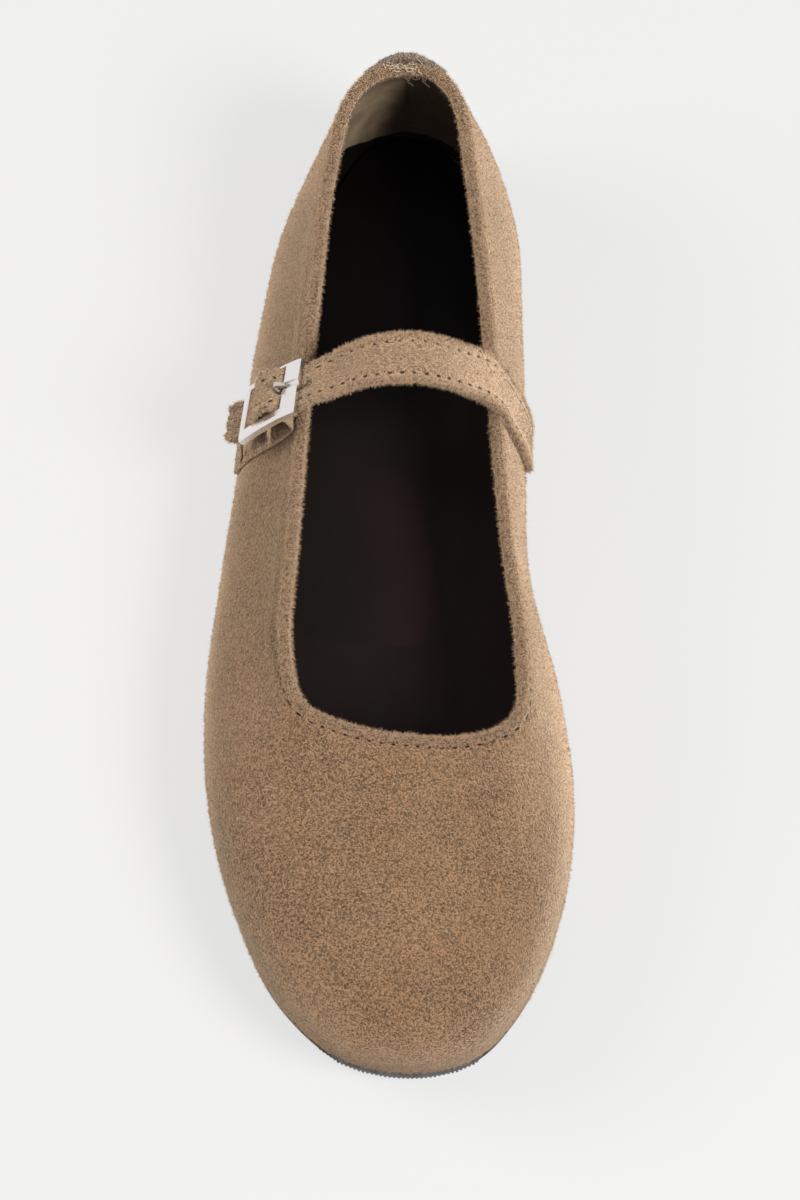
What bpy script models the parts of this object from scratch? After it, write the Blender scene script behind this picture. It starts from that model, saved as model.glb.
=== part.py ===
"""Right ballet flat: hollow suede upper, moulded rubber sole, insole, heel strip, instep strap and buckle.

Sizes below are millimetres; meshes are made in metres. The heel points to +Y, the toe to -Y, the
big-toe side to +X and up is +Z. One function, last_surface, gives the outside of the upper, and the
wall, sole, insole, heel strip, strap ends and buckle tab are all worked out from it.
"""
import math
from collections import namedtuple

import bmesh
import bpy
import numpy as np

MM = 0.001

# Driving sizes of the shoe
LENGTH = 245.0
BALL_WIDTH = 86.5
COLLAR_HEIGHT = 50.5
HEEL_SEAT_HEIGHT = 10.4
UPPER_WALL = 2.2
CROWN_RISE = 0.28
FEATHER_TUCK = 2.0
ARCH_LIFT = 1.6
PIECE_GAP = 0.3

# Sole and insole
SOLE_LEDGE = 0.6
SOLE_TAPER = 0.9
INSOLE_THICKNESS = 2.8

# Heel strip
HEEL_STRIP_WIDTH = 17.5
HEEL_STRIP_THICKNESS = 1.5
HEEL_STRIP_STAND = 2.4
HEEL_STRIP_FOOT = 0.04

# Instep strap
STRAP_WIDTH = 12.8
STRAP_THICKNESS = 1.6
STRAP_WORN_HOLE_DIAMETER = 2.6
STRAP_SPARE_HOLE_DIAMETER = 1.9
STRAP_SPARE_HOLE_STEP = 7.2

# Buckle and its tab
BUCKLE_LENGTH = 17.8
BUCKLE_WIDTH = 16.3
BUCKLE_THICKNESS = 1.9
BUCKLE_BEVEL = 0.45
BUCKLE_BOW_RADIUS = 120.0
END_BAR_WIDTH = 2.7
SIDE_BAR_WIDTH = 1.9
MIDDLE_BAR_DIAMETER = 1.6
MIDDLE_BAR_DROP = 1.3
MIDDLE_BAR_SHIFT = 1.2
PRONG_DIAMETER = 1.2
PRONG_NOTCH_WIDTH = 2.4
PRONG_NOTCH_DEPTH = 0.9
PRONG_TIP_SHARE = 0.6
PRONG_EYE_FROM = 170.0
PRONG_EYE_TO = -130.0
TAB_WIDTH = 11.4
TAB_LAYER = 0.85
TAB_LOOP = 8.6
TAB_FOLD = 2.1
TAB_FLAP = 2.6
TAB_FOLD_ANGLE = 60.0
TAB_SLOT_WIDTH = 3.0

# Place and angles of the buckle: shares of BALL_WIDTH, LENGTH and COLLAR_HEIGHT
BUCKLE_ACROSS = -0.387
BUCKLE_ALONG = 0.3695
BUCKLE_HEIGHT = 0.836
BUCKLE_SLOPE = 45.0
BUCKLE_TURN = 9.7
BUCKLE_ROLL = 22.0

# Fineness of the meshes
SECTIONS_AROUND = 100
LOWER_RINGS = 2
UPPER_RINGS = 9
RIB_POINTS = 6
RIB_END_SHARES = (0.12, 0.5)
STRIP_ROWS = 10
STRIP_COLUMNS = 7
STRAP_COLUMNS = 4
STRAP_ROWS = 58
STRAP_SEAT_STATIONS = 6
BOW_POINTS = 7
TAB_COLUMNS = 4
TAB_SEAT_POINTS = 8
TAB_FOLD_POINTS = 5
EYE_POINTS = 12
TUBE_SIDES = 10
PRONG_SIDES = 8

# Steps for slopes and searches on the outside: a knot and a wall share each
SLOPE_STEP = 0.004
SEARCH_ROUNDS = 30
SEARCH_START = (-0.2, 0.8)
SEARCH_STRIDE = np.array([0.05, 0.2])
SEARCH_LOW = (-0.40, 0.05)
SEARCH_HIGH = (-0.05, 1.0)

# Share of a wall section, from the sole edge to the top line, at which the wall is widest, and the
# share of the height from the sole edge to there at which the wall already stands upright
WIDE_SHARE = 0.2
KNEE_SHARE = 0.4

# Colours of the materials
SUEDE = (0.37, 0.235, 0.145)
DARK_SUEDE = (0.20, 0.14, 0.10)
RUBBER = (0.06, 0.06, 0.065)
INSOLE_BLACK = (0.012, 0.010, 0.011)
STEEL = (0.82, 0.80, 0.79)

# Sections of the last, one row each, from heel to toe on the inner side and back on the outer side.
# along and top_along are shares of LENGTH from the heel, across and top_across are shares of
# BALL_WIDTH towards the big-toe side, tuck is a share of FEATHER_TUCK, the heights are shares of
# COLLAR_HEIGHT, lean is the slope of the wall at the top line in degrees, and rise and reach are
# shares of the span from the widest point to the top line.
Section = namedtuple(
    "Section", "name along across tuck height top_along top_across top_height lean rise reach")
LAST = [
    Section("heel_back", 0.000, -0.008, 0.85, 0.42, 0.017, -0.008, 1.000, 74, 0.38, 0.30),
    Section("heel_round_inner", 0.015, 0.130, 0.90, 0.42, 0.021, 0.072, 0.999, 73, 0.38, 0.31),
    Section("heel_curve_inner", 0.052, 0.218, 0.95, 0.41, 0.048, 0.137, 0.987, 70, 0.38, 0.32),
    Section("heel_side_inner", 0.130, 0.303, 1.10, 0.38, 0.125, 0.178, 0.940, 68, 0.38, 0.34),
    Section("heel_breast_inner", 0.250, 0.321, 1.30, 0.37, 0.247, 0.215, 0.871, 67, 0.38, 0.34),
    Section("waist_inner", 0.400, 0.324, 1.80, 0.40, 0.394, 0.245, 0.812, 70, 0.38, 0.34),
    Section("joint_inner", 0.520, 0.335, 1.40, 0.36, 0.512, 0.272, 0.776, 66, 0.38, 0.36),
    Section("ball_back_inner", 0.640, 0.410, 0.80, 0.32, 0.608, 0.304, 0.752, 52, 0.40, 0.38),
    Section("ball_inner", 0.740, 0.442, 0.70, 0.30, 0.672, 0.300, 0.741, 34, 0.42, 0.40),
    Section("toe_side_inner", 0.850, 0.405, 0.60, 0.31, 0.697, 0.238, 0.735, 20, 0.30, 0.42),
    Section("toe_curve_inner", 0.945, 0.290, 0.50, 0.33, 0.705, 0.160, 0.732, 14, 0.20, 0.44),
    Section("toe_round_inner", 0.986, 0.178, 0.35, 0.34, 0.707, 0.112, 0.731, 12, 0.17, 0.45),
    Section("toe_tip", 1.000, 0.000, 0.30, 0.35, 0.707, 0.062, 0.731, 12, 0.16, 0.45),
    Section("toe_round_outer", 0.986, -0.192, 0.35, 0.34, 0.705, 0.008, 0.731, 12, 0.17, 0.45),
    Section("toe_curve_outer", 0.945, -0.331, 0.50, 0.33, 0.703, -0.058, 0.732, 13, 0.20, 0.44),
    Section("toe_side_outer", 0.850, -0.472, 0.60, 0.31, 0.692, -0.188, 0.735, 18, 0.30, 0.42),
    Section("ball_outer", 0.740, -0.550, 0.70, 0.30, 0.667, -0.306, 0.741, 32, 0.42, 0.40),
    Section("ball_back_outer", 0.640, -0.562, 0.80, 0.32, 0.608, -0.343, 0.752, 50, 0.40, 0.38),
    Section("joint_outer", 0.520, -0.527, 1.00, 0.34, 0.512, -0.327, 0.776, 58, 0.38, 0.36),
    Section("waist_outer", 0.400, -0.482, 1.10, 0.36, 0.394, -0.304, 0.812, 60, 0.38, 0.34),
    Section("heel_breast_outer", 0.250, -0.429, 1.20, 0.37, 0.247, -0.270, 0.871, 62, 0.38, 0.34),
    Section("heel_side_outer", 0.130, -0.351, 1.10, 0.38, 0.125, -0.229, 0.940, 66, 0.38, 0.34),
    Section("heel_curve_outer", 0.052, -0.226, 0.95, 0.41, 0.047, -0.169, 0.987, 70, 0.38, 0.32),
    Section("heel_round_outer", 0.015, -0.146, 0.90, 0.42, 0.021, -0.094, 0.999, 73, 0.38, 0.31),
]
TOE_ROW = 12

# Sole from heel to toe: under and over are the heights of its underside and of the seat of the upper,
# as shares of HEEL_SEAT_HEIGHT, and arch is the share of ARCH_LIFT that the inner edge rises.
SolePoint = namedtuple("SolePoint", "name along under over arch")
SOLE = [
    SolePoint("heel_back", 0.000, 0.00, 1.00, 0.0),
    SolePoint("heel_front", 0.240, 0.00, 0.99, 0.0),
    SolePoint("heel_breast", 0.252, 0.53, 0.98, 0.2),
    SolePoint("arch", 0.370, 0.44, 0.89, 1.0),
    SolePoint("arch_front", 0.490, 0.18, 0.65, 0.6),
    SolePoint("tread_back", 0.580, 0.00, 0.48, 0.0),
    SolePoint("tread_front", 0.790, 0.00, 0.46, 0.0),
    SolePoint("toe_spring", 0.900, 0.12, 0.56, 0.0),
    SolePoint("toe_tip", 1.000, 0.31, 0.79, 0.0),
]

# Strap end sewn to the inner quarter: wall is its place on the wall section, along on LENGTH, and
# width a share of STRAP_WIDTH. It slants towards the toe by STRAP_SLANT degrees on its way down.
STRAP_SLANT = 20.0
StrapSeat = namedtuple("StrapSeat", "name wall along width")
STRAP_SEAT = [
    StrapSeat("sewn_end", 0.27, 0.388, 1.04),
    StrapSeat("seat_middle", 0.60, 0.373, 1.04),
    StrapSeat("collar_edge", 0.96, 0.359, 1.03),
]

# Strap over the instep, one row each: across is a share of BALL_WIDTH, along of LENGTH, height of
# COLLAR_HEIGHT and width of STRAP_WIDTH. The rows run from the inner collar to the buckle.
StrapPoint = namedtuple("StrapPoint", "name across along height width")
STRAP_ARCH = [
    StrapPoint("inner_rise", 0.225, 0.355, 0.900, 1.02),
    StrapPoint("inner_shoulder", 0.145, 0.354, 1.020, 1.00),
    StrapPoint("crown", 0.010, 0.353, 1.130, 1.00),
    StrapPoint("outer_shoulder", -0.125, 0.356, 1.102, 1.00),
    StrapPoint("outer_fall", -0.212, 0.361, 1.016, 0.99),
]

# Strap through the buckle: place is a share of half the BUCKLE_LENGTH from the frame's middle towards
# the instep, lift is the height of the strap's middle over the frame's middle in STRAP_THICKNESS.
BucklePass = namedtuple("BucklePass", "name place lift width")
STRAP_WEAVE = [
    BucklePass("before_frame", 1.24, -1.10, 0.95),
    BucklePass("under_instep_bar", 0.96, -1.36, 0.90),
    BucklePass("inside_instep_bar", 0.68, -1.32, 0.90),
    BucklePass("through_hole", 0.37, 0.62, 0.90),
    BucklePass("over_middle_bar", 0.12, 1.18, 0.90),
    BucklePass("past_middle_bar", -0.26, 0.70, 0.90),
    BucklePass("inside_tip_bar", -0.68, -1.28, 0.90),
    BucklePass("under_tip_bar", -0.94, -1.33, 0.90),
    BucklePass("past_frame", -1.20, -1.28, 0.92),
    BucklePass("tip_shoulder", -1.50, -1.35, 0.92),
    BucklePass("tip_end", -1.62, -1.38, 0.74),
]
PRONG_HOLE_PLACE = 0.37

# Prong from the hole to its tip: run is a share of the way from the hole to the instep bar's middle,
# lift is the height over the frame's middle in PRONG_DIAMETER.
ProngPoint = namedtuple("ProngPoint", "name run lift")
PRONG_PATH = [
    ProngPoint("under_hole", 0.00, 0.50),
    ProngPoint("in_hole", 0.05, 1.67),
    ProngPoint("over_strap", 0.31, 2.42),
    ProngPoint("past_top", 0.62, 2.08),
    ProngPoint("on_bar", 1.05, 0.96),
]

# Upper layer of the buckle tab from the middle bar down to the lower layer: run is a share of TAB_LOOP
# down from the bar, rise the share of the height over the lower layer, layer a share of TAB_LAYER.
TabPoint = namedtuple("TabPoint", "name run rise layer")
TAB_FALL = [
    TabPoint("over_bar", 0.00, 1.00, 1.00),
    TabPoint("past_bar", 0.20, 0.97, 1.05),
    TabPoint("falling", 0.58, 0.36, 1.30),
    TabPoint("landing", 0.84, 0.05, 1.10),
    TabPoint("joined", 1.00, 0.00, 1.00),
]

# Length of the buckle tab from the middle bar to its sewn end, as a share of BUCKLE_LENGTH
TAB_REACH = 1.26


def unit(vector):
    return vector / np.linalg.norm(vector)


class Curve:
    """Smooth curve through rows of values at rising knots, level where two rows are alike if flat is set."""

    def __init__(self, knots, rows, period=None, flat=False):
        self.knots = np.array(knots, float)
        self.rows = np.array(rows, float)
        self.period = period
        if period:
            self.knots = np.concatenate([self.knots[-2:] - period, self.knots, self.knots[:2] + period])
            self.rows = np.concatenate([self.rows[-2:], self.rows, self.rows[:2]])
        steps = np.diff(self.knots)[:, None]
        slopes = np.diff(self.rows, axis=0) / steps
        inner = (slopes[:-1] * steps[1:] + slopes[1:] * steps[:-1]) / (steps[:-1] + steps[1:])
        if flat:
            same_way = slopes[:-1] * slopes[1:] > 0.0
            limit = 2.0 * np.minimum(abs(slopes[:-1]), abs(slopes[1:]))
            inner = np.where(same_way, np.clip(inner, -limit, limit), 0.0)
        ends = np.zeros_like(slopes[:1]) if flat else slopes[:1]
        last = np.zeros_like(slopes[-1:]) if flat else slopes[-1:]
        self.slopes = np.concatenate([ends, inner, last])

    def at(self, knot):
        if self.period:
            knot = knot % self.period
        cell = int(np.clip(np.searchsorted(self.knots, knot) - 1, 0, len(self.knots) - 2))
        step = self.knots[cell + 1] - self.knots[cell]
        t = (knot - self.knots[cell]) / step
        a, b = self.rows[cell], self.rows[cell + 1]
        ta, tb = self.slopes[cell] * step, self.slopes[cell + 1] * step
        return ((2 * t**3 - 3 * t**2 + 1) * a + (t**3 - 2 * t**2 + t) * ta
                + (3 * t**2 - 2 * t**3) * b + (t**3 - t**2) * tb)


def section_knots():
    """Knots of the sections around the shoe, 0 at the heel, 0.5 at the toe, alike on both sides."""
    inner = LAST[:TOE_ROW + 1]
    outer = [LAST[0]] + LAST[:TOE_ROW - 1:-1]
    spans = [0.0]
    for index in range(1, TOE_ROW + 1):
        steps = []
        for side in (inner, outer):
            dx = (side[index].across - side[index - 1].across) * BALL_WIDTH
            dy = (side[index].along - side[index - 1].along) * LENGTH
            steps.append(math.hypot(dx, dy))
        spans.append(spans[-1] + sum(steps) / 2)
    half = [0.5 * span / spans[-1] for span in spans]
    return half + [1.0 - knot for knot in half[-2:0:-1]]


LAST_CURVE = Curve(section_knots(), [row[1:] for row in LAST], period=1.0)
SOLE_CURVE = Curve([row.along for row in SOLE], [row[2:] for row in SOLE], flat=True)


def y_of(along):
    return LENGTH / 2 - along * LENGTH


def along_of(y):
    return (LENGTH / 2 - y) / LENGTH


def sole_levels(x, y):
    """Heights of the sole's underside and of its upper face at a place in plan."""
    under, over, arch = SOLE_CURVE.at(min(max(along_of(y), 0.0), 1.0))
    inner_share = max(0.0, x / (BALL_WIDTH / 2))
    lift = ARCH_LIFT * arch * min(1.0, 2.0 * inner_share) ** 2
    return under * HEEL_SEAT_HEIGHT + lift, over * HEEL_SEAT_HEIGHT + lift


def wide_line(u):
    """Widest outline of the upper in plan."""
    row = LAST_CURVE.at(u)
    return np.array([row[1] * BALL_WIDTH, y_of(row[0])])


def plan_normal(u):
    """Outward direction of the outline in plan."""
    tangent = unit(wide_line(u + SLOPE_STEP / 2) - wide_line(u - SLOPE_STEP / 2))
    return np.array([-tangent[1], tangent[0]])


def feather_point(u, outset=0.0):
    """Point of the edge where the upper meets the sole, in plan, moved outwards by outset."""
    tuck = LAST_CURVE.at(u)[2] * FEATHER_TUCK
    return wide_line(u) + plan_normal(u) * (outset - tuck)


def last_surface(u, v):
    """Outside of the upper: u goes round from the heel, v from the sole edge (0) to the top line (1)."""
    row = Section("", *LAST_CURVE.at(u))
    wide = np.array([row.across * BALL_WIDTH, y_of(row.along), row.height * COLLAR_HEIGHT])
    if v < WIDE_SHARE:
        foot = np.array([*feather_point(u), 0.0])
        foot[2] = sole_levels(foot[0], foot[1])[1] + PIECE_GAP
        knee = np.array([wide[0], wide[1], foot[2] + KNEE_SHARE * (wide[2] - foot[2])])
        t = v / WIDE_SHARE
        return (1 - t) ** 2 * foot + 2 * t * (1 - t) * knee + t**2 * wide
    top = np.array([row.top_across * BALL_WIDTH, y_of(row.top_along), row.top_height * COLLAR_HEIGHT])
    span = np.linalg.norm(top - wide)
    inward = unit(np.array([top[0] - wide[0], top[1] - wide[1], 0.0]))
    lean = math.radians(row.lean)
    heading = inward * math.cos(lean) + np.array([0.0, 0.0, math.sin(lean)])
    if v > 1.0:
        return top + heading * (v - 1.0) * span
    low = wide + np.array([0.0, 0.0, row.rise * span])
    high = top - heading * row.reach * span
    t = (v - WIDE_SHARE) / (1 - WIDE_SHARE)
    return (1 - t) ** 3 * wide + 3 * t * (1 - t) ** 2 * low + 3 * t**2 * (1 - t) * high + t**3 * top


def last_normal(u, v):
    """Outward direction of the upper's outside."""
    around = last_surface(u + SLOPE_STEP, v) - last_surface(u - SLOPE_STEP, v)
    upward = last_surface(u, v + SLOPE_STEP) - last_surface(u, max(v - SLOPE_STEP, 0.0))
    return unit(np.cross(upward, around))


def quarter_knot(side, y, v):
    """Knot of the quarter on side +1 (inner) or -1 (outer) where the outside has this y at v."""
    low, high = SLOPE_STEP, -SEARCH_LOW[0]
    for _ in range(SEARCH_ROUNDS):
        middle = (low + high) / 2
        if last_surface(side * middle, v)[1] > y:
            low = middle
        else:
            high = middle
    return side * (low + high) / 2


def make_material(name, colour, roughness, metallic=0.0):
    material = bpy.data.materials.new(name)
    material.use_nodes = True
    shader = material.node_tree.nodes["Principled BSDF"]
    shader.inputs["Base Color"].default_value = (*colour, 1.0)
    shader.inputs["Roughness"].default_value = roughness
    shader.inputs["Metallic"].default_value = metallic
    return material


def make_object(name, bm, material, parent, smooth_angle=40.0):
    mesh = bpy.data.meshes.new(name)
    bmesh.ops.recalc_face_normals(bm, faces=bm.faces)
    bm.to_mesh(mesh)
    bm.free()
    mesh.shade_smooth()
    mesh.set_sharp_from_angle(angle=math.radians(smooth_angle))
    mesh.materials.append(material)
    piece = bpy.data.objects.new(name, mesh)
    bpy.context.collection.objects.link(piece)
    piece.parent = parent
    return piece


def skin(bm, loops, ring=False, caps=True):
    """Faces between closed loops of equal length; the loops close on each other if ring is set."""
    rows = [[bm.verts.new(np.asarray(point) * MM) for point in loop] for loop in loops]
    pairs = list(zip(rows, rows[1:]))
    if ring:
        pairs.append((rows[-1], rows[0]))
    for one, two in pairs:
        for index in range(len(one)):
            after = (index + 1) % len(one)
            bm.faces.new((one[index], one[after], two[after], two[index]))
    if caps and not ring:
        bm.faces.new(rows[0][::-1])
        bm.faces.new(rows[-1])
    return rows


def solid(name, loops, material, parent, ring=False, smooth_angle=40.0):
    bm = bmesh.new()
    skin(bm, loops, ring)
    return make_object(name, bm, material, parent, smooth_angle)


def cut(piece, cutter, operation="DIFFERENCE"):
    """Boolean with a helper object that is not part of the shoe."""
    cutter.hide_render = True
    cutter.display_type = "WIRE"
    modifier = piece.modifiers.new("cut_" + cutter.name, "BOOLEAN")
    modifier.operation = operation
    modifier.solver = "EXACT"
    modifier.object = cutter


def wall_shares():
    """Shares of the wall section at which the upper has rings."""
    lower = [WIDE_SHARE * index / LOWER_RINGS for index in range(LOWER_RINGS)]
    return lower + [WIDE_SHARE + (1 - WIDE_SHARE) * index / UPPER_RINGS for index in range(UPPER_RINGS + 1)]


def make_upper(material, parent):
    """Hollow shell, open at the collar and underneath, one closed section loop for each knot around."""
    loops = []
    for index in range(SECTIONS_AROUND):
        u = index / SECTIONS_AROUND
        outside = [last_surface(u, v) for v in wall_shares()]
        inside = [point - last_normal(u, v) * UPPER_WALL for point, v in zip(outside, wall_shares())]
        inside[0] = np.array([*feather_point(u, -UPPER_WALL), outside[0][2]])
        crown_lift = unit(outside[-1] - outside[-2]) * UPPER_WALL * CROWN_RISE
        crown = (outside[-1] + inside[-1]) / 2 + crown_lift
        loops.append(outside + [crown] + inside[::-1])
    return solid("upper", loops, material, parent, ring=True)


def rib_loops(knots, outset, taper, levels):
    """Closed loops across the shoe between its two edges; levels gives the two heights at a place."""
    loops = []
    for u in knots:
        loop = []
        for face, side_outset in ((1, outset), (0, outset - taper)):
            inner = feather_point(u, side_outset)
            outer = feather_point(1.0 - u, side_outset)
            shares = np.linspace(0.0, 1.0, RIB_POINTS)
            for share in (shares if face else shares[::-1]):
                x, y = outer + (inner - outer) * share
                loop.append(np.array([x, y, levels(x, y)[face]]))
        loops.append(loop)
    return loops


def rib_knots(extra=()):
    """Knots of the ribs from heel to toe; the first and last stay just off the very ends."""
    count = SECTIONS_AROUND // 2
    even = [0.5 * index / count for index in range(1, count)]
    ends = [0.5 * share / count for share in RIB_END_SHARES]
    return sorted(ends + even + [0.5 - knot for knot in ends] + list(extra))


def knot_at_along(along):
    """Knot of the outline at a share of the length, on either side."""
    low, high = 0.0, 0.5
    for _ in range(SEARCH_ROUNDS):
        middle = (low + high) / 2
        if LAST_CURVE.at(middle)[0] < along:
            low = middle
        else:
            high = middle
    return (low + high) / 2


def make_outsole(material, parent):
    """Rubber unit sole with its heel, arch and toe spring."""
    extra = [knot_at_along(row.along) for row in SOLE if row.name in ("heel_front", "heel_breast")]
    extra.append((extra[0] + extra[1]) / 2)
    knots = rib_knots(extra)
    loops = rib_loops(knots, SOLE_LEDGE, SOLE_TAPER, sole_levels)
    return solid("outsole", loops, material, parent)


def make_insole(material, parent):
    """Thin sock on its board, 0.3 mm inside the wall and over the sole."""
    inset = -(UPPER_WALL + PIECE_GAP)

    def levels(x, y):
        seat = sole_levels(x, y)[1] + PIECE_GAP
        return seat, seat + INSOLE_THICKNESS

    return solid("insole", rib_loops(rib_knots(), inset, 0.0, levels), material, parent)


def seat_grid(knot_of, walls, columns, lift):
    """Points on the outside of the upper, lifted off it, for rows of wall shares and columns."""
    grid = []
    for v in walls:
        row = []
        for column in columns:
            u = knot_of(column, v)
            row.append(last_surface(u, v) + last_normal(u, v) * lift)
        grid.append(row)
    return grid


def make_heel_strip(material, parent):
    """Strip over the heel seam, from the sole to a little above the collar."""
    def knot_of(column, v):
        reach = column * HEEL_STRIP_WIDTH / 2
        around = last_surface(SLOPE_STEP, v) - last_surface(-SLOPE_STEP, v)
        return reach * 2 * SLOPE_STEP / np.linalg.norm(around)

    top_span = np.linalg.norm(last_surface(0.0, 1.0) - last_surface(0.0, WIDE_SHARE))
    walls = list(np.linspace(HEEL_STRIP_FOOT, 1.0, STRIP_ROWS)) + [1.0 + HEEL_STRIP_STAND / top_span]
    columns = np.linspace(-1.0, 1.0, STRIP_COLUMNS)
    under = seat_grid(knot_of, walls, columns, PIECE_GAP)
    over = seat_grid(knot_of, walls, columns, PIECE_GAP + HEEL_STRIP_THICKNESS)
    loops = [low + high[::-1] for low, high in zip(under, over)]
    return solid("heel_strip", loops, material, parent)


class BucklePlace:
    """Where the buckle lies: its middle, and the directions across, towards the instep and outwards."""

    def __init__(self):
        slope, turn, roll = (math.radians(angle) for angle in (BUCKLE_SLOPE, BUCKLE_TURN, BUCKLE_ROLL))
        level = np.array([math.cos(turn), math.sin(turn), 0.0])
        aside = np.array([-math.sin(turn), math.cos(turn), 0.0])
        up = np.array([0.0, 0.0, 1.0])
        flat_out = up * math.cos(slope) - level * math.sin(slope)
        self.instep = level * math.cos(slope) + up * math.sin(slope)
        self.across = aside * math.cos(roll) - flat_out * math.sin(roll)
        self.out = flat_out * math.cos(roll) + aside * math.sin(roll)
        self.middle = np.array([
            BUCKLE_ACROSS * BALL_WIDTH, y_of(BUCKLE_ALONG), BUCKLE_HEIGHT * COLLAR_HEIGHT])

    def point(self, place, lift, aside=0.0):
        """Point at a run towards the instep along the bowed frame, a lift off its middle, and aside."""
        angle = place / BUCKLE_BOW_RADIUS
        radius = BUCKLE_BOW_RADIUS + lift
        return (self.middle + self.instep * radius * math.sin(angle)
                + self.out * (radius * math.cos(angle) - BUCKLE_BOW_RADIUS) + self.across * aside)

    def bar_point(self, aside):
        """Point on the axis of the middle bar."""
        return self.point(MIDDLE_BAR_SHIFT, -MIDDLE_BAR_DROP, aside)


def strap_stations(buckle):
    """Front and back edge points of the strap's middle surface, from the sewn end to the tip."""
    stations = []
    lift = PIECE_GAP + STRAP_THICKNESS / 2
    slant = math.radians(STRAP_SLANT)
    seat_curve = Curve([row.wall for row in STRAP_SEAT], [row[2:] for row in STRAP_SEAT])
    for wall in np.linspace(STRAP_SEAT[0].wall, STRAP_SEAT[-1].wall, STRAP_SEAT_STATIONS):
        along, width = seat_curve.at(wall)
        knot = quarter_knot(1, y_of(along), wall)
        upward = last_surface(knot, wall + SLOPE_STEP) - last_surface(knot, wall - SLOPE_STEP)
        span = np.linalg.norm(upward) / (2 * SLOPE_STEP)
        edges = []
        for aside in (-0.5, 0.5):
            reach = aside * width * STRAP_WIDTH
            v = min(wall - reach * math.sin(slant) / span, 1.0)
            u = quarter_knot(1, y_of(along) + reach * math.cos(slant), v)
            edges.append(last_surface(u, v) + last_normal(u, v) * lift)
        stations.append(edges)
    seat_across = unit(stations[-1][1] - stations[-1][0])
    for index, row in enumerate(STRAP_ARCH):
        middle = np.array([row.across * BALL_WIDTH, y_of(row.along), row.height * COLLAR_HEIGHT])
        share = (index + 1) / (len(STRAP_ARCH) + 1)
        level = np.array([0.0, 1.0, 0.0])
        blend = seat_across * (1 - 2 * share) + level * 2 * share
        if share > 0.5:
            blend = level * (2 - 2 * share) + buckle.across * (2 * share - 1)
        half = unit(blend) * row.width * STRAP_WIDTH / 2
        stations.append([middle - half, middle + half])
    for row in STRAP_WEAVE:
        place = row.place * BUCKLE_LENGTH / 2
        half = row.width * STRAP_WIDTH / 2
        stations.append([buckle.point(place, row.lift * STRAP_THICKNESS, aside) for aside in (-half, half)])
    return stations


def strap_grid(buckle):
    """Even rows of points across the strap's middle surface."""
    stations = np.array(strap_stations(buckle)).reshape(-1, 6)
    middles = (stations[:, :3] + stations[:, 3:]) / 2
    spans = np.concatenate([[0.0], np.cumsum(np.linalg.norm(np.diff(middles, axis=0), axis=1))])
    curve = Curve(spans, stations)
    rows = []
    for run in np.linspace(0.0, spans[-1], STRAP_ROWS):
        edges = curve.at(run)
        front, back = edges[:3], edges[3:]
        rows.append([front + (back - front) * share for share in np.linspace(0.0, 1.0, STRAP_COLUMNS)])
    return np.array(rows)


def make_strap(buckle, material, parent):
    """Instep strap with the hole for the prong and one spare hole."""
    grid = strap_grid(buckle)
    loops = []
    for index, row in enumerate(grid):
        before, after = grid[max(index - 1, 0)], grid[min(index + 1, len(grid) - 1)]
        over, under = [], []
        for column, point in enumerate(row):
            normal = unit(np.cross(row[-1] - row[0], after[column] - before[column]))
            over.append(point + normal * STRAP_THICKNESS / 2)
            under.append(point - normal * STRAP_THICKNESS / 2)
        loops.append(over + under[::-1])
    strap = solid("instep_strap", loops, material, parent)
    worn_place = PRONG_HOLE_PLACE * BUCKLE_LENGTH / 2
    spare_place = worn_place + STRAP_SPARE_HOLE_STEP
    reach = STRAP_WIDTH / 2
    for name, place, diameter in (("worn_hole", worn_place, STRAP_WORN_HOLE_DIAMETER),
                                  ("spare_hole", spare_place, STRAP_SPARE_HOLE_DIAMETER)):
        through = [buckle.point(place, -reach), buckle.point(place, reach)]
        cut(strap, make_tube(name, through, diameter, material, parent))
    return strap


def make_tube(name, points, diameter, material, parent, sides=TUBE_SIDES, ends=1.0):
    """Round bar through points; ends is the share of its width that is left at its two ends."""
    points = [np.asarray(point) for point in points]
    heading = unit(points[1] - points[0])
    helper = np.array([0.0, 1.0, 0.0]) if abs(heading[1]) < 0.9 else np.array([1.0, 0.0, 0.0])
    side = unit(np.cross(heading, helper))
    loops = []
    for index, point in enumerate(points):
        before, after = points[max(index - 1, 0)], points[min(index + 1, len(points) - 1)]
        heading = unit(after - before)
        side = unit(side - heading * np.dot(side, heading))
        other = np.cross(heading, side)
        at_end = index in (0, len(points) - 1)
        radius = diameter / 2 * (ends if at_end else 1.0)
        angles = np.linspace(0.0, 2 * math.pi, sides, endpoint=False)
        loops.append([point + (side * math.cos(a) + other * math.sin(a)) * radius for a in angles])
    return solid(name, loops, material, parent)


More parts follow.
